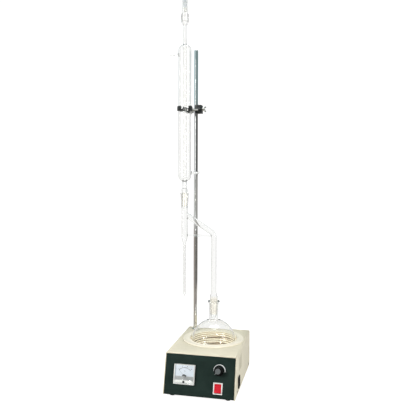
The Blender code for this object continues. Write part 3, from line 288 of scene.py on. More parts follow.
WIRE = textured("oxidised_wire", (0.09, 0.055, 0.025), (0.26, 0.17, 0.08), 0.55, bump=0.5, bump_scale=1500.0,
                scale=400.0, metallic=0.5)
CLOTH = woven("glass_fibre_courses", (0.95, 0.91, 0.76), (0.88, 0.82, 0.64))
# The grooves between the cloth's courses: painted shade, a darker brown than the courses
GROOVE_PAINTED_SHADE = woven("groove_painted_shade", (0.42, 0.32, 0.20), (0.30, 0.22, 0.13))
CLEAR = glass("borosilicate", (0.994, 0.995, 0.988))
GROUND = glass("ground_joint", (0.972, 0.952, 0.905), roughness=0.25, frost=0.4)
CLEAN_GROUND = glass("clean_ground_joint", (0.996, 0.994, 0.988), roughness=0.2, frost=0.3)
WINDOW = glass("clear_window", (0.995, 0.998, 1.0), roughness=0.02)
INK_BROWN = textured("scale_print", (0.10, 0.06, 0.03), (0.20, 0.12, 0.07), 0.6, bump=0.05, bump_scale=3000.0)


# ---- Mesh helpers ----


def finish_piece(obj, material, body, nodes=(), angle=35.0):
    """Shading, finish, body and the CAD nodes it stands for."""
    obj.data.materials.clear()
    for one in material if isinstance(material, list) else [material]:
        obj.data.materials.append(one)
    obj.data.shade_smooth()
    obj.data.set_sharp_from_angle(angle=math.radians(angle))
    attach(obj, body)
    if nodes:
        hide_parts(*nodes)


def object_of(name, shape, matrix=None):
    """A bmesh as an object, its points moved by the matrix."""
    bmesh.ops.recalc_face_normals(shape, faces=shape.faces)
    mesh = bpy.data.meshes.new(name)
    shape.to_mesh(mesh)
    shape.free()
    if matrix is not None:
        mesh.transform(matrix)
    obj = bpy.data.objects.new(name, mesh)
    bpy.context.scene.collection.objects.link(obj)
    return obj


def arc(centre, radius, start, end, steps):
    angles = [math.radians(start + (end - start) * i / steps) for i in range(steps + 1)]
    return [(centre[0] + radius * math.cos(a), centre[1] + radius * math.sin(a)) for a in angles]


def lathe(name, profile, at=(0, 0, 0), segments=64, closed=False, matrix=None, wobble=None):
    """A profile of (radius, height) points turned about Z. Wobble adds to the radius at an angle."""
    shape = bmesh.new()
    rings = []
    for radius, height in profile:
        if radius < 1e-7:
            rings.append([shape.verts.new((0, 0, height))])
            continue
        ring = []
        for i in range(segments):
            angle = 2 * math.pi * i / segments
            reach = radius + (wobble(angle, radius, height) if wobble else 0.0)
            ring.append(shape.verts.new((reach * math.cos(angle), reach * math.sin(angle), height)))
        rings.append(ring)
    pairs = list(zip(rings, rings[1:]))
    if closed:
        pairs.append((rings[-1], rings[0]))
    for first, second in pairs:
        for i in range(segments):
            j = (i + 1) % segments
            if len(first) == 1 and len(second) == 1:
                continue
            if len(first) == 1:
                shape.faces.new((first[0], second[i], second[j]))
            elif len(second) == 1:
                shape.faces.new((first[i], second[0], first[j]))
            else:
                shape.faces.new((first[i], second[i], second[j], first[j]))
    return object_of(name, shape, Matrix.Translation(at) if matrix is None else matrix)


def sweep(name, points, radius, sides):
    """A round bar along a line of points, with capped ends."""
    shape = bmesh.new()
    points = [Vector(p) for p in points]
    rings = []
    side = None
    for index, point in enumerate(points):
        before = points[max(index - 1, 0)]
        after = points[min(index + 1, len(points) - 1)]
        along = (after - before).normalized()
        if side is None:
            side = along.orthogonal().normalized()
        side = (side - along * side.dot(along)).normalized()
        other = along.cross(side)
        rings.append([shape.verts.new(point + radius * (side * math.cos(2 * math.pi * k / sides)
                                                        + other * math.sin(2 * math.pi * k / sides)))
                      for k in range(sides)])
    skin(shape, rings)
    return object_of(name, shape)


def skin(shape, rings):
    """Faces between rings of as many points, and a cap at each end."""
    for first, second in zip(rings, rings[1:]):
        for k in range(len(first)):
            n = (k + 1) % len(first)
            shape.faces.new((first[k], first[n], second[n], second[k]))
    shape.faces.new(rings[0])
    shape.faces.new(rings[-1][::-1])


def boxes(name, corners, bevel=0.0, matrix=None):
    """Several boxes in one mesh, each from its low and high corner."""
    shape = bmesh.new()
    for low, high in corners:
        low, high = Vector(low), Vector(high)
        made = bmesh.ops.create_cube(shape, size=1.0)["verts"]
        bmesh.ops.scale(shape, vec=high - low, verts=made)
        bmesh.ops.translate(shape, vec=(high + low) / 2, verts=made)
    if bevel:
        bmesh.ops.bevel(shape, geom=list(shape.edges), offset=bevel, segments=2, affect="EDGES", profile=0.5)
    return object_of(name, shape, matrix)


def boolean(obj, operation, others):
    """Applies exact booleans and removes the shapes they used."""
    for other in others:
        modifier = obj.modifiers.new("cut", "BOOLEAN")
        modifier.operation = operation
        modifier.solver = "EXACT"
        modifier.object = other
    bpy.context.view_layer.update()
    mesh = bpy.data.meshes.new_from_object(obj.evaluated_get(bpy.context.evaluated_depsgraph_get()))
    obj.modifiers.clear()
    obj.data = mesh
    for other in others:
        bpy.data.objects.remove(other)


def band(obj, index, test):
    """Gives the faces whose centre passes the test another of the object's materials."""
    for face in obj.data.polygons:
        if test(face.center):
            face.material_index = index


def dress(node, material, bevel=0.0, split=35.0):
    """A CAD node as packed, with rounded edges, smooth round faces and a finish."""
    obj = NODES[node]
    for slot in obj.material_slots:
        slot.material = material
    weld = obj.modifiers.new("weld", "WELD")
    weld.merge_threshold = 0.00001
    if bevel:
        rounding = obj.modifiers.new("rounding", "BEVEL")
        rounding.width = bevel
        rounding.segments = 2
        rounding.limit_method = "ANGLE"
        rounding.angle_limit = math.radians(40)
    obj.data.shade_smooth()
    creases = obj.modifiers.new("creases", "EDGE_SPLIT")
    creases.split_angle = math.radians(split)


# ---- Glass train ----


def build_flask():
    """The flask's glass in one line: up the inside, over the rim and down the outside."""
    inner = FLASK_RADIUS - 0.0018
    neck, bore, neck_foot = 0.0148, 0.0126, 0.172
    start = math.degrees(math.acos(bore / inner))
    inside = arc((0, FLASK_Z), inner, -90, start - 3, 30)
    inside[0] = (0.0, FLASK_Z - inner)
    joint_end = LARGE_JOINT - TAPER * LARGE_LENGTH
    inside += [(bore + 0.0002, FLASK_Z + inner * math.sin(math.radians(start)) + 0.001), (bore - 0.0012, neck_foot)]
    inside += [(joint_end, FLASK_RIM - LARGE_LENGTH), (LARGE_JOINT, FLASK_RIM)]
    outside = [(0.0172, FLASK_RIM), (0.0181, FLASK_RIM - 0.0006), (0.0185, FLASK_RIM - 0.0018),
               (0.0180, FLASK_RIM - 0.0032), (0.0165, FLASK_RIM - 0.0044), (0.0152, FLASK_RIM - 0.0068),
               (neck, FLASK_RIM - 0.020), (neck, FLASK_RIM - LARGE_LENGTH), (neck, neck_foot),
               (neck + 0.0010, 0.1665)]
    top = math.degrees(math.acos((neck + 0.003) / FLASK_RADIUS))
    down = arc((0, FLASK_Z), FLASK_RADIUS, top, -90, 32)
    down[-1] = (0.0, FLASK_Z - FLASK_RADIUS)
    obj = lathe("round_flask", inside + outside + down, (FLASK_X, FLASK_Y, 0), segments=96)
    finish_piece(obj, [CLEAR, GROUND], "flask", ["flask"])
    reach = LARGE_JOINT + 0.0002
    band(obj, 1, lambda c: FLASK_RIM - LARGE_LENGTH < c.z < FLASK_RIM - 0.001
         and off_axis(c, FLASK_X, FLASK_Y) < reach)


def vapour_path(end_z):
    """Centre line of the vapour tube: down the arm from the trap, round the bend and straight down."""
    start = Vector((TRAP_X, ARM_TOP))
    corner = Vector((FLASK_X, ARM_CORNER))
    along = (corner - start).normalized()
    turn = math.pi / 2 + math.atan2(along.y, along.x)
    reach = ARM_BEND * math.tan(turn / 2)
    points = [start, start.lerp(corner, 0.35)]
    points += [Vector(p) for p in arc((FLASK_X - ARM_BEND, corner.y - reach), ARM_BEND, math.degrees(turn), 0, 18)]
    points += [Vector((FLASK_X, end_z))]
    return [(p.x, TRAP_Y, p.y) for p in points]


def build_trap():
    """The trap, its arm, brace and cone as solids joined in one, then hollowed."""
    rim, narrow, tip = TRAP_RIM, 0.3925, TRAP_TIP
    socket = SMALL_JOINT + 0.0025
    joint_end = SMALL_JOINT - TAPER * SMALL_LENGTH
    at = (TRAP_X, TRAP_Y, 0)
    tip_round = arc((0.0, tip + 0.0022), 0.0022, -10, -90, 5)
    tip_round[-1] = (0.0, tip)
    trap = lathe("graduated_trap", [
        (0.0, rim), (0.0132, rim), (0.0140, rim - 0.0006), (0.0142, rim - 0.0015), (0.0139, rim - 0.0026),
        (0.0128, rim - 0.0036), (socket, rim - 0.0060), (socket - 0.0010, rim - SMALL_LENGTH),
        (0.0104, rim - 0.042), (0.0100, rim - 0.046), (0.0100, BRACE_Z), (0.0098, 0.4135), (0.0090, 0.4075),
        (0.0066, 0.4000), (0.0050, narrow + 0.003), (0.0045, narrow), (0.0045, tip + 0.013), (0.0040, tip + 0.009)]
        + tip_round, at, segments=48)
    cone = LARGE_JOINT - GAP
    foot = FLASK_RIM - LARGE_LENGTH
    over_flask = (FLASK_X, FLASK_Y, 0)
    joint = lathe("vapour_joint", [
        (0.0, 0.254), (VAPOUR_RADIUS - 0.0001, 0.254), (0.0088, 0.2475), (0.0102, 0.2415), (cone, 0.2370),
        (cone + 0.0004, 0.2340), (cone + 0.0004, 0.2320), (cone - TAPER * LARGE_LENGTH, foot), (0.0082, foot - 0.003),
        (0.0073, foot - 0.006), (0.0072, foot - 0.010), (0.0, foot - 0.010)], over_flask, segments=48)
    arm = sweep("vapour_tube", vapour_path(foot + 0.02), VAPOUR_RADIUS, 40)
    brace_line = [(x, TRAP_Y, BRACE_Z) for x in (TRAP_X + 0.007, TRAP_X + 0.030, FLASK_X - 0.005)]
    brace = sweep("trap_brace", brace_line, 0.0030, 20)
    boolean(trap, "UNION", [joint, arm, brace])
    hollow = lathe("trap_hollow", [
        (0.0, rim + 0.002), (SMALL_JOINT + 0.0001, rim + 0.002), (joint_end, rim - SMALL_LENGTH),
        (0.0088, rim - 0.042), (0.0086, rim - 0.046), (0.0086, 0.4205), (0.0084, 0.4145), (0.0077, 0.4090),
        (0.0054, 0.4010), (0.0038, narrow + 0.003), (0.0033, narrow), (0.0033, tip + 0.013), (0.0024, tip + 0.008),
        (0.0008, tip + 0.004), (0.0, tip + 0.0038)], at, segments=48)
    joint_hollow = lathe("joint_hollow", [
        (0.0, 0.253), (VAPOUR_BORE - 0.0001, 0.253), (0.0075, 0.2470), (0.0088, 0.2410), (0.0094, 0.2340),
        (0.0094, 0.224), (cone - TAPER * LARGE_LENGTH - 0.0024, foot), (0.0062, foot - 0.003), (0.0054, foot - 0.006),
        (0.0052, foot - 0.02), (0.0, foot - 0.02)], over_flask, segments=48)
    arm_hollow = sweep("arm_hollow", vapour_path(0.247), VAPOUR_BORE, 40)
    boolean(trap, "DIFFERENCE", [hollow, joint_hollow, arm_hollow])
    finish_piece(trap, [CLEAR, GROUND], "water_trap", ["water_trap"], angle=28)

    def ground(c):
        if c.z < CONE_TOP:
            return foot < c.z and off_axis(c, FLASK_X, FLASK_Y) > cone - TAPER * LARGE_LENGTH - 0.0006
        return rim - SMALL_LENGTH < c.z < rim - 0.001 and off_axis(c, TRAP_X, TRAP_Y) < SMALL_JOINT + 0.0001

    band(trap, 1, ground)


def hose_nozzle(name, direction, height):
    """A ribbed hose nozzle out of the jacket, left (-1) or right (1), and the shape of its bore."""
    length = 0.0455
    turn = Matrix.Translation((TRAP_X, TRAP_Y, height)) @ Matrix.Rotation(direction * math.pi / 2, 4, "Y")
    solid = lathe(name, [
        (0.0, length), (0.0026, length), (0.0032, length - 0.0004), (0.0046, length - 0.0048),
        (0.0046, length - 0.0054), (0.0035, length - 0.0060), (0.0046, length - 0.0106), (0.0046, length - 0.0112),
        (0.0036, length - 0.0118), (0.0038, length - 0.017), (0.0042, JACKET_RADIUS + 0.002),
        (0.0058, JACKET_RADIUS - 0.0001), (0.0062, JACKET_RADIUS - 0.0010), (0.0, JACKET_RADIUS - 0.0010)],
        segments=32, matrix=turn)
    bore = lathe(name + "_bore", [(0.0, JACKET_RADIUS - 0.005), (0.0021, JACKET_RADIUS - 0.005),
                                  (0.0021, length + 0.01), (0.0, length + 0.01)], segments=24, matrix=turn)
    return solid, bore


def build_condenser():
    """Inner tube, jacket and nozzles in one piece of glass, with the water space cut out of it."""
    joint = SMALL_JOINT - GAP
    foot = TRAP_RIM - SMALL_LENGTH
    socket_end = SMALL_JOINT - TAPER * 0.026
    bottom, top = JACKET_BOTTOM, JACKET_TOP
    shoulder = JACKET_RADIUS - CORE_RADIUS
    bore = [(0.0034, foot - 0.012), (0.0050, foot), (0.0060, TRAP_RIM - 0.004), (0.0060, bottom - 0.012),
            (CORE_BORE, bottom - 0.002), (CORE_BORE, TOP_SOCKET - 0.004), (0.0062, TOP_SOCKET),
            (socket_end, TOP_SOCKET + 0.003), (SMALL_JOINT, CONDENSER_TOP)]
    outside = [(0.0113, CONDENSER_TOP), (0.0122, CONDENSER_TOP - 0.0006), (0.0126, CONDENSER_TOP - 0.0018),
               (0.0124, CONDENSER_TOP - 0.0034), (0.0114, CONDENSER_TOP - 0.0062), (0.0109, TOP_SOCKET + 0.004),
               (0.0100, TOP_SOCKET + 0.0004), (0.0078, TOP_SOCKET - 0.0030),
               (CORE_RADIUS + 0.0004, TOP_SOCKET - 0.0062), (CORE_RADIUS, TOP_SOCKET - 0.010),
               (CORE_RADIUS, top + 0.004), (CORE_RADIUS + 0.0006, top + 0.0012)]
    outside += arc((CORE_RADIUS, top - shoulder), shoulder, 84, 0, 16)
    outside += arc((CORE_RADIUS, bottom + shoulder), shoulder, 0, -78, 14)
    outside += [(0.0076, bottom - 0.0012), (0.0072, bottom - 0.004), (0.0072, 0.5640), (0.0080, 0.5595),
                (0.0099, 0.5580), (0.0103, 0.5560), (0.0103, 0.5530), (0.0098, 0.5510),
                (joint + TAPER * 0.003, TRAP_RIM + 0.0030), (joint - TAPER * SMALL_LENGTH, foot),
                (0.0062, foot - 0.003), (0.0046, foot - 0.006), (0.0042, foot - 0.012)]
    at = (TRAP_X, TRAP_Y, 0)
    body = lathe("straight_condenser", bore + outside, at, segments=72, closed=True)
    upper, upper_bore = hose_nozzle("upper_nozzle", -1, UPPER_NOZZLE)
    lower, lower_bore = hose_nozzle("lower_nozzle", 1, LOWER_NOZZLE)
    boolean(body, "UNION", [upper, lower])
    inner = shoulder - JACKET_WALL
    jacket = [(CORE_RADIUS, bottom + JACKET_WALL + 0.001), (CORE_RADIUS, top - JACKET_WALL - 0.001)]
    jacket += arc((CORE_RADIUS, top - shoulder), inner, 84, 0, 14)
    jacket += arc((CORE_RADIUS, bottom + shoulder), inner, 0, -84, 14)
    water_space = lathe("water_space", jacket, at, segments=72, closed=True)
    boolean(body, "DIFFERENCE", [water_space, upper_bore, lower_bore])
    finish_piece(body, [CLEAR, GROUND, CLEAN_GROUND], "condenser", ["condenser"], angle=28)
    band(body, 1, lambda c: foot < c.z < TRAP_RIM + 0.002
         and off_axis(c, TRAP_X, TRAP_Y) > joint - TAPER * SMALL_LENGTH - 0.0004)
    band(body, 2, lambda c: TOP_SOCKET + 0.003 < c.z < CONDENSER_TOP - 0.0008
         and off_axis(c, TRAP_X, TRAP_Y) < SMALL_JOINT + 0.0001)


def build_drying_tube():
    joint = SMALL_JOINT - GAP
    foot = TOP_SOCKET + 0.006
    at = (TRAP_X, TRAP_Y, 0)
    body = lathe("drying_tube_glass", [
        (0.0058, foot), (0.0064, CONDENSER_TOP - 0.004), (0.0069, CONDENSER_TOP + 0.004), (0.0069, DRYING_TOP - 0.001),
        (0.0071, DRYING_TOP), (0.0084, DRYING_TOP), (0.0090, DRYING_TOP - 0.0005), (0.0092, DRYING_TOP - 0.0014),
        (0.0088, DRYING_TOP - 0.0026), (0.0083, DRYING_TOP - 0.0036), (0.0083, CONDENSER_TOP + 0.007),
        (0.0087, CONDENSER_TOP + 0.003), (joint + TAPER * 0.001, CONDENSER_TOP + 0.001),
        (joint - TAPER * (CONDENSER_TOP - foot), foot)], at, segments=56, closed=True)
    finish_piece(body, [CLEAR, CLEAN_GROUND], "drying_tube", ["drying_tube"])
    band(body, 1, lambda c: foot < c.z < CONDENSER_TOP
         and off_axis(c, TRAP_X, TRAP_Y) > joint - TAPER * (CONDENSER_TOP - foot) - 0.0004)
    for name in ("lower_wool_plug", "upper_wool_plug"):
        low, high = heights(name)
        profile = [(0.0, low)] + arc((0.0052, low + 0.0012), 0.0013, -90, 0, 4)
        profile += arc((0.0052, high - 0.0012), 0.0013, 0, 90, 4) + [(0.0, high)]
        plug = lathe(name + "_fibres", profile, at, segments=36)
        bulge = plug.modifiers.new("finer", "SUBSURF")
        bulge.levels = bulge.render_levels = 1
        finish_piece(plug, WOOL, "drying_tube", [name])
    fill_with_granules()
    low, high = heights("drying_stopper")
    stopper = lathe("rubber_stopper", [
        (0.0025, low), (0.0025, high), (0.0080, high), (0.0086, high - 0.0004), (0.0088, high - 0.0012),
        (0.0084, DRYING_TOP + 0.0006), (0.0080, DRYING_TOP + 0.0003), (0.0066, DRYING_TOP + 0.0002),
        (0.0060, low + 0.0006), (0.0054, low)], at, segments=48, closed=True)
    finish_piece(stopper, RED_RUBBER, "stopper", ["drying_stopper"])
    low, high = heights("vent_tube")
    vent = lathe("vent_tube_glass", [(0.0012, low), (0.0012, high), (0.0018, high), (0.0022, high - 0.0004),
                                     (0.0022, low)], at, segments=32, closed=True)
    finish_piece(vent, CLEAR, "stopper", ["vent_tube"])


def fill_with_granules():
    """The desiccant: small uneven grains packed in the tube, in rings from the bottom up."""
    random.seed(7)
    low, high = heights("desiccant")
    shape = bmesh.new()
    grain = 0.00125
    layers = int((high - low - 2 * grain) / (grain * 1.55))
    for layer in range(layers + 1):
        z = low + grain + layer * (high - low - 2 * grain) / layers
        for ring, count in ((0.0051, 13), (0.0026, 7)):
            shift = random.random() * 2 * math.pi
            for k in range(count):
                angle = shift + 2 * math.pi * k / count
                size = grain * random.uniform(0.85, 1.1)
                made = bmesh.ops.create_icosphere(shape, subdivisions=1, radius=size)["verts"]
                for vertex in made:
                    vertex.co *= 1 + 0.12 * noise.noise(vertex.co * 900 + Vector((k, layer, ring * 1000)))
                bmesh.ops.translate(shape, verts=made,
                                    vec=(ring * math.cos(angle), ring * math.sin(angle),
                                         z + random.uniform(-0.2, 0.2) * grain))
    obj = object_of("desiccant_grains", shape, Matrix.Translation((TRAP_X, TRAP_Y, 0)))
    finish_piece(obj, GRANULE, "drying_tube", ["desiccant"], angle=60)


def build_graduations():
    """Printed ticks on the trap's narrow leg, 0.1 ml apart, longer at each half and whole millilitre."""
    shape = bmesh.new()
    low, high = TRAP_TIP + 0.016, 0.3875
    radius, raised, thick = 0.00456, 0.00006, 0.00016
    facing = 18 - 90  # degrees
    count, steps = 50, 10
    for index in range(count + 1):
        z = low + (high - low) * index / count
        half = 75 if index % 10 == 0 else 48 if index % 5 == 0 else 28
        rows = []
        for k in range(steps + 1):
            angle = math.radians(facing - half + 2 * half * k / steps)
            rows.append([shape.verts.new((r * math.cos(angle), r * math.sin(angle), z + dz))
                         for r, dz in ((radius, -thick), (radius, thick), (radius + raised, thick),
                                       (radius + raised, -thick))])
        skin(shape, rows)
    obj = object_of("trap_graduations", shape, Matrix.Translation((TRAP_X, TRAP_Y, 0)))
    finish_piece(obj, INK_BROWN, "water_trap")


# ---- Heating mantle ----


def build_mantle():
    """The bowl, lined with rounds of glass-fibre cloth with painted shade in the grooves between them, and the
    enamelled ring round its edge.
    """
    at = (FLASK_X, FLASK_Y, FLASK_Z)
    rim = TOP_Z - FLASK_Z
    inner, outer = 0.0702, 0.0732
    courses = 18
    steps = 8
    start = math.degrees(math.asin(rim / inner))
    profile = []
    for index in range(courses * steps + 1):
        share = index / (courses * steps)
        angle = math.radians(start + (-90 - start) * share)
        swell = 0.0011 * abs(math.sin(math.pi * share * courses)) ** 0.7
        reach = inner - swell
        profile.append((max(reach * math.cos(angle), 0.0) if index < courses * steps else 0.0,
                        reach * math.sin(angle)))
    back = arc((0, 0), outer, -90, start, 40)
    back[0] = (0.0, -outer)
    ring = lathe("woven_mantle_bowl", profile + back, at, segments=96, closed=True)
    finish_piece(ring, [CLOTH, GROOVE_PAINTED_SHADE], "base", ["mantle_liner"], angle=70)
    # The faces down in the grooves get the painted shade
    band(ring, 1, lambda c: inner - 0.0008 < (c - Vector(at)).length < inner + 0.0004)
    low, high = FLANGE_LOW.z, FLANGE_HIGH.z
    hole, edge = 0.0700, (FLANGE_HIGH.x - FLANGE_LOW.x) / 2
    flange = lathe("mantle_ring", [
        (hole, low), (hole, high - 0.0014), (hole + 0.0004, high - 0.0004), (hole + 0.0014, high + 0.0002),
        (hole + 0.0045, high + 0.0002), (hole + 0.0056, high - 0.0004), (hole + 0.0066, high - 0.0006),
        (edge - 0.0060, high - 0.0006), (edge - 0.0050, high - 0.0004), (edge - 0.0040, high),
        (edge - 0.0022, high), (edge - 0.0008, high - 0.0006), (edge, high - 0.0018), (edge, low)],
        (FLASK_X, FLASK_Y, 0), segments=128, closed=True)
    finish_piece(flange, CREAM_RING, "base", ["mantle_flange"])


# ---- Panel ----


def on_panel(x, up, out=0.0):
    return FRONT @ Matrix.Translation((x, up, out))


def printed_arc(name, radius, widths, angles, steps, matrix, thickness=PRINT_THICKNESS):
    """A flat arc between two angles in degrees, of one width at its start and another at its end."""
    shape = bmesh.new()
    rows = []
    for k in range(steps + 1):
        share = k / steps
        a = math.radians(angles[0] + (angles[1] - angles[0]) * share)
        half = (widths[0] + (widths[1] - widths[0]) * share) / 2
        rows.append([shape.verts.new((r * math.cos(a), r * math.sin(a), z))
                     for r, z in ((radius - half, 0), (radius + half, 0), (radius + half, thickness),
                                  (radius - half, thickness))])
    skin(shape, rows)
    return object_of(name, shape, matrix)


def ticks(name, marks, matrix):
    """Printed radial ticks: (angle in degrees, inner radius, outer radius, width)."""
    shape = bmesh.new()
    lift = Vector((0, 0, PRINT_THICKNESS))
    for angle, inner, outer, width in marks:
        a = math.radians(angle)
        along, across = Vector((math.cos(a), math.sin(a), 0)), Vector((-math.sin(a), math.cos(a), 0))
        corners = [along * r + across * w for r, w in ((inner, -width / 2), (outer, -width / 2),
                                                      (outer, width / 2), (inner, width / 2))]
        skin(shape, [[shape.verts.new(c) for c in corners], [shape.verts.new(c + lift) for c in corners]])
    return object_of(name, shape, matrix)


def build_meter():
    face = PANEL_FACE + GAP
    dress("meter_case", WHITE_PLASTIC, 0.0008)
    dress("meter_dial", DIAL)
    pointer = boxes("meter_needle", [((-0.00018, 0.0, 0.0), (0.00018, 0.0215, 0.0003)),
                                     ((-0.0005, -0.0040, 0.0), (0.0005, 0.0, 0.0003))], bevel=0.00006,
                    matrix=on_panel(METER_X, METER_UP - AXLE_DROP, face + 0.0047)
                    @ Matrix.Rotation(math.radians(45), 4, "Z"))
    finish_piece(pointer, INK, "meter_pointer", ["meter_pointer"])
    dress("meter_cover", WINDOW, 0.0009)
    dress("meter_zero_screw", BLACK_PLASTIC, 0.0002)
    centre = on_panel(METER_X, METER_UP - AXLE_DROP, face + 0.0032)
    radius, number_radius = 0.0208, 0.0254
    scale = printed_arc("meter_scale_arc", radius, (0.0005, 0.0005), (42, 138), 40, centre)
    finish_piece(scale, INK, "base")
    marks = []
    for index in range(31):
        angle = 135 - 3 * index
        length = 0.0026 if index % 10 == 0 else 0.0020 if index % 5 == 0 else 0.0012
        marks.append((angle, radius, radius + length, 0.00036 if index % 5 == 0 else 0.00022))
    finish_piece(ticks("meter_scale_ticks", marks, centre), INK, "base")
    for index, text in enumerate(("0", "10", "20", "30")):
        a = math.radians(135 - 30 * index)
        spot = centre @ Matrix.Translation((number_radius * math.cos(a), number_radius * math.sin(a) - 0.0004, 0))
        dial_text("meter_number_" + text, text, 0.0030, spot)
    dial_text("meter_unit", "A", 0.0046, centre @ Matrix.Translation((0, 0.0125, 0)))
    # The lower mask: a ribbed grey band behind the window, and a plain white strip under it.
    width, low, middle_up, high = METER_WIDTH / 2 - 0.0032, -0.0226, -0.0150, -AXLE_DROP - 0.0004
    rib_count = 22
    bars = [((-width, low, 0), (width, high, 0.0008))]
    for index in range(rib_count):
        x = -width + 0.0016 + (2 * width - 0.0032) * index / (rib_count - 1)
        bars.append(((x - 0.0006, middle_up + 0.0004, 0.0008), (x + 0.0006, high - 0.0010, 0.0019)))
    mask = boxes("meter_mask", bars, matrix=on_panel(METER_X, METER_UP, face + 0.0062))
    finish_piece(mask, GREY_RIBS, "base")
    strip = boxes("meter_mask_foot", [((-width, low, 0), (width, middle_up, 0.0006))], bevel=0.0002,
                  matrix=on_panel(METER_X, METER_UP, face + 0.0073))
    hole = lathe("strip_hole", [(0, -0.01), (0.0030, -0.01), (0.0030, 0.01), (0, 0.01)], segments=32,
                 matrix=on_panel(METER_X, METER_UP - ZERO_DROP, face + 0.0073))
    boolean(strip, "DIFFERENCE", [hole])
    finish_piece(strip, WHITE_PLASTIC, "base")
    hub = printed_arc("meter_hub_shade", 0.0048, (0.0018, 0.0018), (8, 172), 24,
                      on_panel(METER_X, METER_UP - AXLE_DROP - 0.0016, face + 0.0064), 0.0010)
    finish_piece(hub, BLACK_PLASTIC, "base")
    for side, x in (("left", -0.0240), ("right", 0.0240)):
        rivet = lathe("meter_rivet_" + side, [(0.0, 0.0010), (0.0006, 0.0010), (0.0010, 0.0007), (0.0011, 0.0),
                                              (0.0, 0.0)], segments=20,
                      matrix=on_panel(METER_X + x, METER_UP - 0.0158, face + 0.0074))
        finish_piece(rivet, ZINC, "base")


def dial_text(name, text, size, matrix):
    """A printed number or unit letter, as a mesh."""
    curve = bpy.data.curves.new(name + "_text", "FONT")
    curve.body = text
    curve.size = size
    curve.extrude = 0.00004
    curve.align_x = "CENTER"
    curve.align_y = "CENTER"
    guide = bpy.data.objects.new(name + "_guide", curve)
    bpy.context.scene.collection.objects.link(guide)
    bpy.context.view_layer.update()
    mesh = bpy.data.meshes.new_from_object(guide.evaluated_get(bpy.context.evaluated_depsgraph_get()))
    bpy.data.objects.remove(guide)
    mesh.transform(matrix)
    obj = bpy.data.objects.new(name, mesh)
    bpy.context.scene.collection.objects.link(obj)
    finish_piece(obj, INK, "base")


def build_knob():
    turn = on_panel(KNOB_X, KNOB_UP) @ Matrix.Rotation(math.radians(135), 4, "Z")
    face = PANEL_FACE
    flutes = 28

    def grip(angle, radius, height):
        if not 0.0098 < radius < 0.0116 or height < face + 0.0062:
            return 0.0
        return -0.00045 * (0.5 - 0.5 * math.cos(flutes * angle)) ** 2

    knob = lathe("fluted_knob", [
        (0.0033, face + 0.0010), (0.0033, face + 0.0150), (0.0, face + 0.0150), (0.0, face + 0.0192),
        (0.0078, face + 0.0192), (0.0078, face + 0.0204), (0.0084, face + 0.0207), (0.0094, face + 0.0205),
        (0.0100, face + 0.0200), (0.0104, face + 0.0192), (0.0107, face + 0.0130), (0.0111, face + 0.0070),
        (0.0113, face + 0.0058), (0.0118, face + 0.0050), (0.0125, face + 0.0044), (0.0129, face + 0.0036),
        (0.0130, face + 0.0014), (0.0128, face + 0.0010)], segments=168, closed=True, matrix=turn, wobble=grip)
    finish_piece(knob, BLACK_PLASTIC, "heat_knob", ["heat_knob"])
    cap = lathe("knob_cap_disc", [(0.0, face + 0.0196), (0.0072, face + 0.0196), (0.0075, face + 0.0199),
                                  (0.0075, face + 0.0208), (0.0071, face + 0.0212), (0.0052, face + 0.0210),
                                  (0.0030, face + 0.0209), (0.0, face + 0.0208)], segments=64, matrix=turn)
    finish_piece(cap, KNOB_CAP, "heat_knob", ["knob_cap"])
    line = boxes("knob_index_line", [((-0.0004, 0.0107, face + 0.0070), (0.0004, 0.0112, face + 0.0190)),
                                     ((-0.0004, 0.0082, face + 0.0203), (0.0004, 0.0100, face + 0.0208))],
                 matrix=turn)
    finish_piece(line, PRINT, "heat_knob")
    print_at = on_panel(KNOB_X + 0.0005, KNOB_UP + 0.0005, face + 0.00002)
    scale = printed_arc("heat_scale_arc", 0.0158, (0.0005, 0.0026), (185, -8), 60, print_at)
    finish_piece(scale, PRINT, "base")


# ---- Stand, clamp, base ----


def build_stand():
    at = (ROD_X, ROD_Y, 0)
    rod = lathe("chrome_rod", [(0.0, ROD_LOW), (0.0060, ROD_LOW), (0.0065, ROD_LOW + 0.0005),
                               (0.0065, ROD_TOP - 0.0012), (0.0062, ROD_TOP - 0.0005), (0.0055, ROD_TOP),
                               (0.0, ROD_TOP)], at, segments=64)
    finish_piece(rod, CHROME, "base", ["stand_rod"], angle=20)
    for node in ("rod_collar", "rod_washer", "rod_lock_nut"):
        dress(node, ZINC, 0.0003)


def dress_the_rest():
    """The CAD nodes that are shown as packed: their finish and the size of their rounded edges."""
    corners = ("front_left", "front_right", "rear_left", "rear_right")
    for material, bevel, nodes in (
            (CREAM, 0.0005, ("housing_cover", "rear_panel")),
            (SHEET_METAL, 0.0003, ("base_plate",)),
            (SHEET_METAL, 0.0, ("mantle_shell",)),
            (WOOL, 0.0, ("insulation_bowl",)),
            (PANEL, 0.0003, ("front_panel",)),
            (WHITE_PLASTIC, 0.0007, ("switch_frame",)),
            (RED_PLASTIC, 0.0006, ("switch_rocker",)),
            (CASTING, 0.0005, ("boss_head", "clamp_arm", "fixed_jaw", "moving_jaw")),
            (RUBBER, 0.0002, ("fixed_jaw_pad", "moving_jaw_pad")),
            (ZINC, 0.0003, ("jaw_pin", "jaw_stud", "jaw_wing_nut", "rod_thumb_screw", "arm_thumb_screw")),
            (RUBBER, 0.0006, ["foot_" + corner for corner in corners]),
            (ZINC, 0.0002, ["cover_screw_" + corner for corner in corners]),
            (BLACK_PLASTIC, 0.0005, ("power_inlet", "potentiometer_body", "triac")),
            (WHITE_PLASTIC, 0.0004, ("terminal_block",)),
            (SHEET_METAL, 0.0002, ("triac_heatsink",)),
            (ZINC, 0.0002, ("potentiometer_shaft",)),
            (BOARD, 0.0001, ("control_board",))):
        for node in nodes:
            dress(node, material, bevel)
    dress("heating_coil", WIRE, split=80)


# ---- Light, floor, camera ----


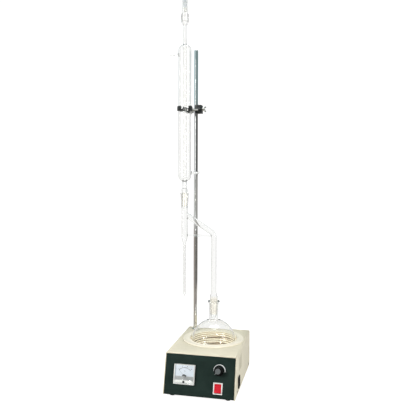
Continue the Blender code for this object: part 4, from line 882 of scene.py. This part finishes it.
def build_floor():
    """A pale floor that rises behind the object as a seamless sweep. Metal and glass see a studio round it."""
    shape = bmesh.new()
    floor_z = CAD_LOW.z - 0.0002
    width, near, far, wall, bend = 6.0, -4.0, 2.2, 5.0, 1.2
    line = [(near, 0.0)] + arc((far, bend), bend, -90, 0, 12) + [(far + bend, wall)]
    rows = [[shape.verts.new((x, y, floor_z + z)) for x in (-width, width)] for y, z in line]
    for first, second in zip(rows, rows[1:]):
        shape.faces.new((first[0], first[1], second[1], second[0]))
    obj = object_of("studio_floor", shape)
    obj.data.shade_smooth()
    material = textured("pale_floor", (0.62, 0.62, 0.61), (0.66, 0.66, 0.65), 0.8, bump=0.02, specular=0.0)
    tree = material.node_tree
    surface = tree.nodes["Principled BSDF"].outputs["BSDF"]
    geometry = add_node(tree, "ShaderNodeNewGeometry")
    away = add_node(tree, "ShaderNodeVectorMath", geometry.outputs["Incoming"], operation="SCALE", Scale=-1.0)
    path = add_node(tree, "ShaderNodeLightPath").outputs
    for ray, colour in (("Is Glossy Ray", mirrored(tree, away.outputs["Vector"])),
                        ("Is Transmission Ray", seen_through(tree, away.outputs["Vector"]))):
        glow = add_node(tree, "ShaderNodeEmission", colour)
        surface = add_node(tree, "ShaderNodeMixShader", path[ray], surface,
                           glow.outputs["Emission"]).outputs["Shader"]
    glow = add_node(tree, "ShaderNodeMath", path["Is Camera Ray"], FLOOR_GLOW, operation="MULTIPLY")
    glow = add_node(tree, "ShaderNodeEmission", WHITE, glow.outputs["Value"])
    both = add_node(tree, "ShaderNodeAddShader", surface, glow.outputs["Emission"])
    feed(tree, tree.nodes["Material Output"], {"Surface": both.outputs["Shader"]})
    obj.data.materials.append(material)


def dot(tree, direction, x, y, z):
    toward = Vector((x, y, z)).normalized()
    return add_node(tree, "ShaderNodeVectorMath", direction, toward, operation="DOT_PRODUCT").outputs["Value"]


def mix(tree, factor, first, second, blend="MIX"):
    node = add_node(tree, "ShaderNodeMix", data_type="RGBA", blend_type=blend)
    return feed(tree, node, {0: factor, 6: first, 7: second}).outputs[2]


def mirrored(tree, direction):
    """What polished metal mirrors: light and dark studio flags round the camera, in layers from low to high."""
    turn = add_node(tree, "ShaderNodeMath", dot(tree, direction, *MIRROR_RIGHT), dot(tree, direction, *MIRROR_NEAR),
                    operation="ARCTAN2")
    share = add_node(tree, "ShaderNodeMath", turn.outputs["Value"], 0.5 / math.pi, 0.5, operation="MULTIPLY_ADD")
    height = add_node(tree, "ShaderNodeSeparateXYZ", direction)
    colour = None
    for low, high, stops in MIRROR_LAYERS:
        layer = ramp(tree, share.outputs["Value"], stops)
        if colour is None:
            colour = layer
        else:
            fade = add_node(tree, "ShaderNodeMapRange", height.outputs["Z"], low, high)
            colour = mix(tree, fade.outputs["Result"], colour, layer)
    for x, y, z, size, power in SPOTS:
        edge = math.cos(math.radians(size))
        lit = add_node(tree, "ShaderNodeMapRange", dot(tree, direction, x, y, z), edge, edge + 0.002, 0.0, power)
        colour = mix(tree, 1.0, colour, lit.outputs["Result"], "ADD")
    return colour


def seen_through(tree, direction):
    """What shows through clear glass: white ahead, a little darker at the sides, which draws the edges."""
    view = add_node(tree, "ShaderNodeVectorTransform", direction, vector_type="VECTOR", convert_from="WORLD",
                    convert_to="CAMERA")
    parts = add_node(tree, "ShaderNodeSeparateXYZ", view.outputs["Vector"])
    ahead = add_node(tree, "ShaderNodeMath", parts.outputs["Z"], operation="ABSOLUTE")
    return ramp(tree, ahead.outputs["Value"], [(0.0, (0.34, 0.35, 0.34)), (0.45, (0.66, 0.68, 0.67)),
                                               (0.80, (0.95, 0.96, 0.95)), (0.93, (1, 1, 1))])


def build_world():
    world = bpy.data.worlds.new("studio")
    bpy.context.scene.world = world
    world.use_nodes = True
    tree = world.node_tree
    path = add_node(tree, "ShaderNodeLightPath").outputs
    direction = add_node(tree, "ShaderNodeTexCoord").outputs["Generated"]
    seen = (AMBIENT, AMBIENT, AMBIENT * 1.03, 1.0)
    seen = mix(tree, path["Is Glossy Ray"], seen, mirrored(tree, direction))
    seen = mix(tree, path["Is Transmission Ray"], seen, seen_through(tree, direction))
    seen = mix(tree, path["Is Camera Ray"], seen, WHITE)
    feed(tree, tree.nodes["Background"], {"Color": seen, "Strength": 1.0})


def area_light(name, place, target, size, power):
    data = bpy.data.lights.new(name, "AREA")
    data.shape = "RECTANGLE"
    data.size, data.size_y = size
    data.energy = power
    obj = bpy.data.objects.new(name, data)
    bpy.context.scene.collection.objects.link(obj)
    obj.location = place
    obj.rotation_euler = (Vector(target) - Vector(place)).to_track_quat("-Z", "Y").to_euler()
    return obj


def build_camera():
    """The viewing point of a product shot: right of the front, a little above the middle."""
    yaw, pitch, roll = (math.radians(a) for a in CAMERA_TURN)
    forward = Vector((-math.sin(yaw) * math.cos(pitch), math.cos(yaw) * math.cos(pitch), math.sin(pitch)))
    right = Vector((math.cos(yaw), math.sin(yaw), 0))
    up = right.cross(forward)
    right, up = right * math.cos(roll) + up * math.sin(roll), up * math.cos(roll) - right * math.sin(roll)
    data = bpy.data.cameras.new("camera")
    data.sensor_width = 36.0
    data.lens = CAMERA_LENS
    camera = bpy.data.objects.new("camera", data)
    bpy.context.scene.collection.objects.link(camera)
    turn = Matrix((right, up, -forward)).transposed().to_4x4()
    camera.matrix_world = Matrix.Translation(CAMERA_PLACE) @ turn
    data.clip_start, data.clip_end = 0.05, 50.0
    bpy.context.scene.camera = camera


build_flask()
build_trap()
build_condenser()
build_drying_tube()
build_graduations()
build_mantle()
build_meter()
build_knob()
build_stand()
dress_the_rest()
build_floor()
build_world()
area_light("key_softbox", (-1.27, -1.76, 1.12), (0, 0, 0.1), (0.40, 0.40), 36).visible_glossy = False
area_light("right_fill", (1.9, -0.6, 1.0), (0, 0, 0.3), (0.9, 1.4), 24).visible_glossy = False
area_light("top_softbox", (0.1, 0.2, 2.4), (0, 0, 0.2), (1.4, 1.4), 19)
build_camera()
scene = bpy.context.scene
scene.view_settings.view_transform = "Standard"
scene.cycles.transmission_bounces = 24
scene.cycles.max_bounces = 28
scene.cycles.transparent_max_bounces = 24
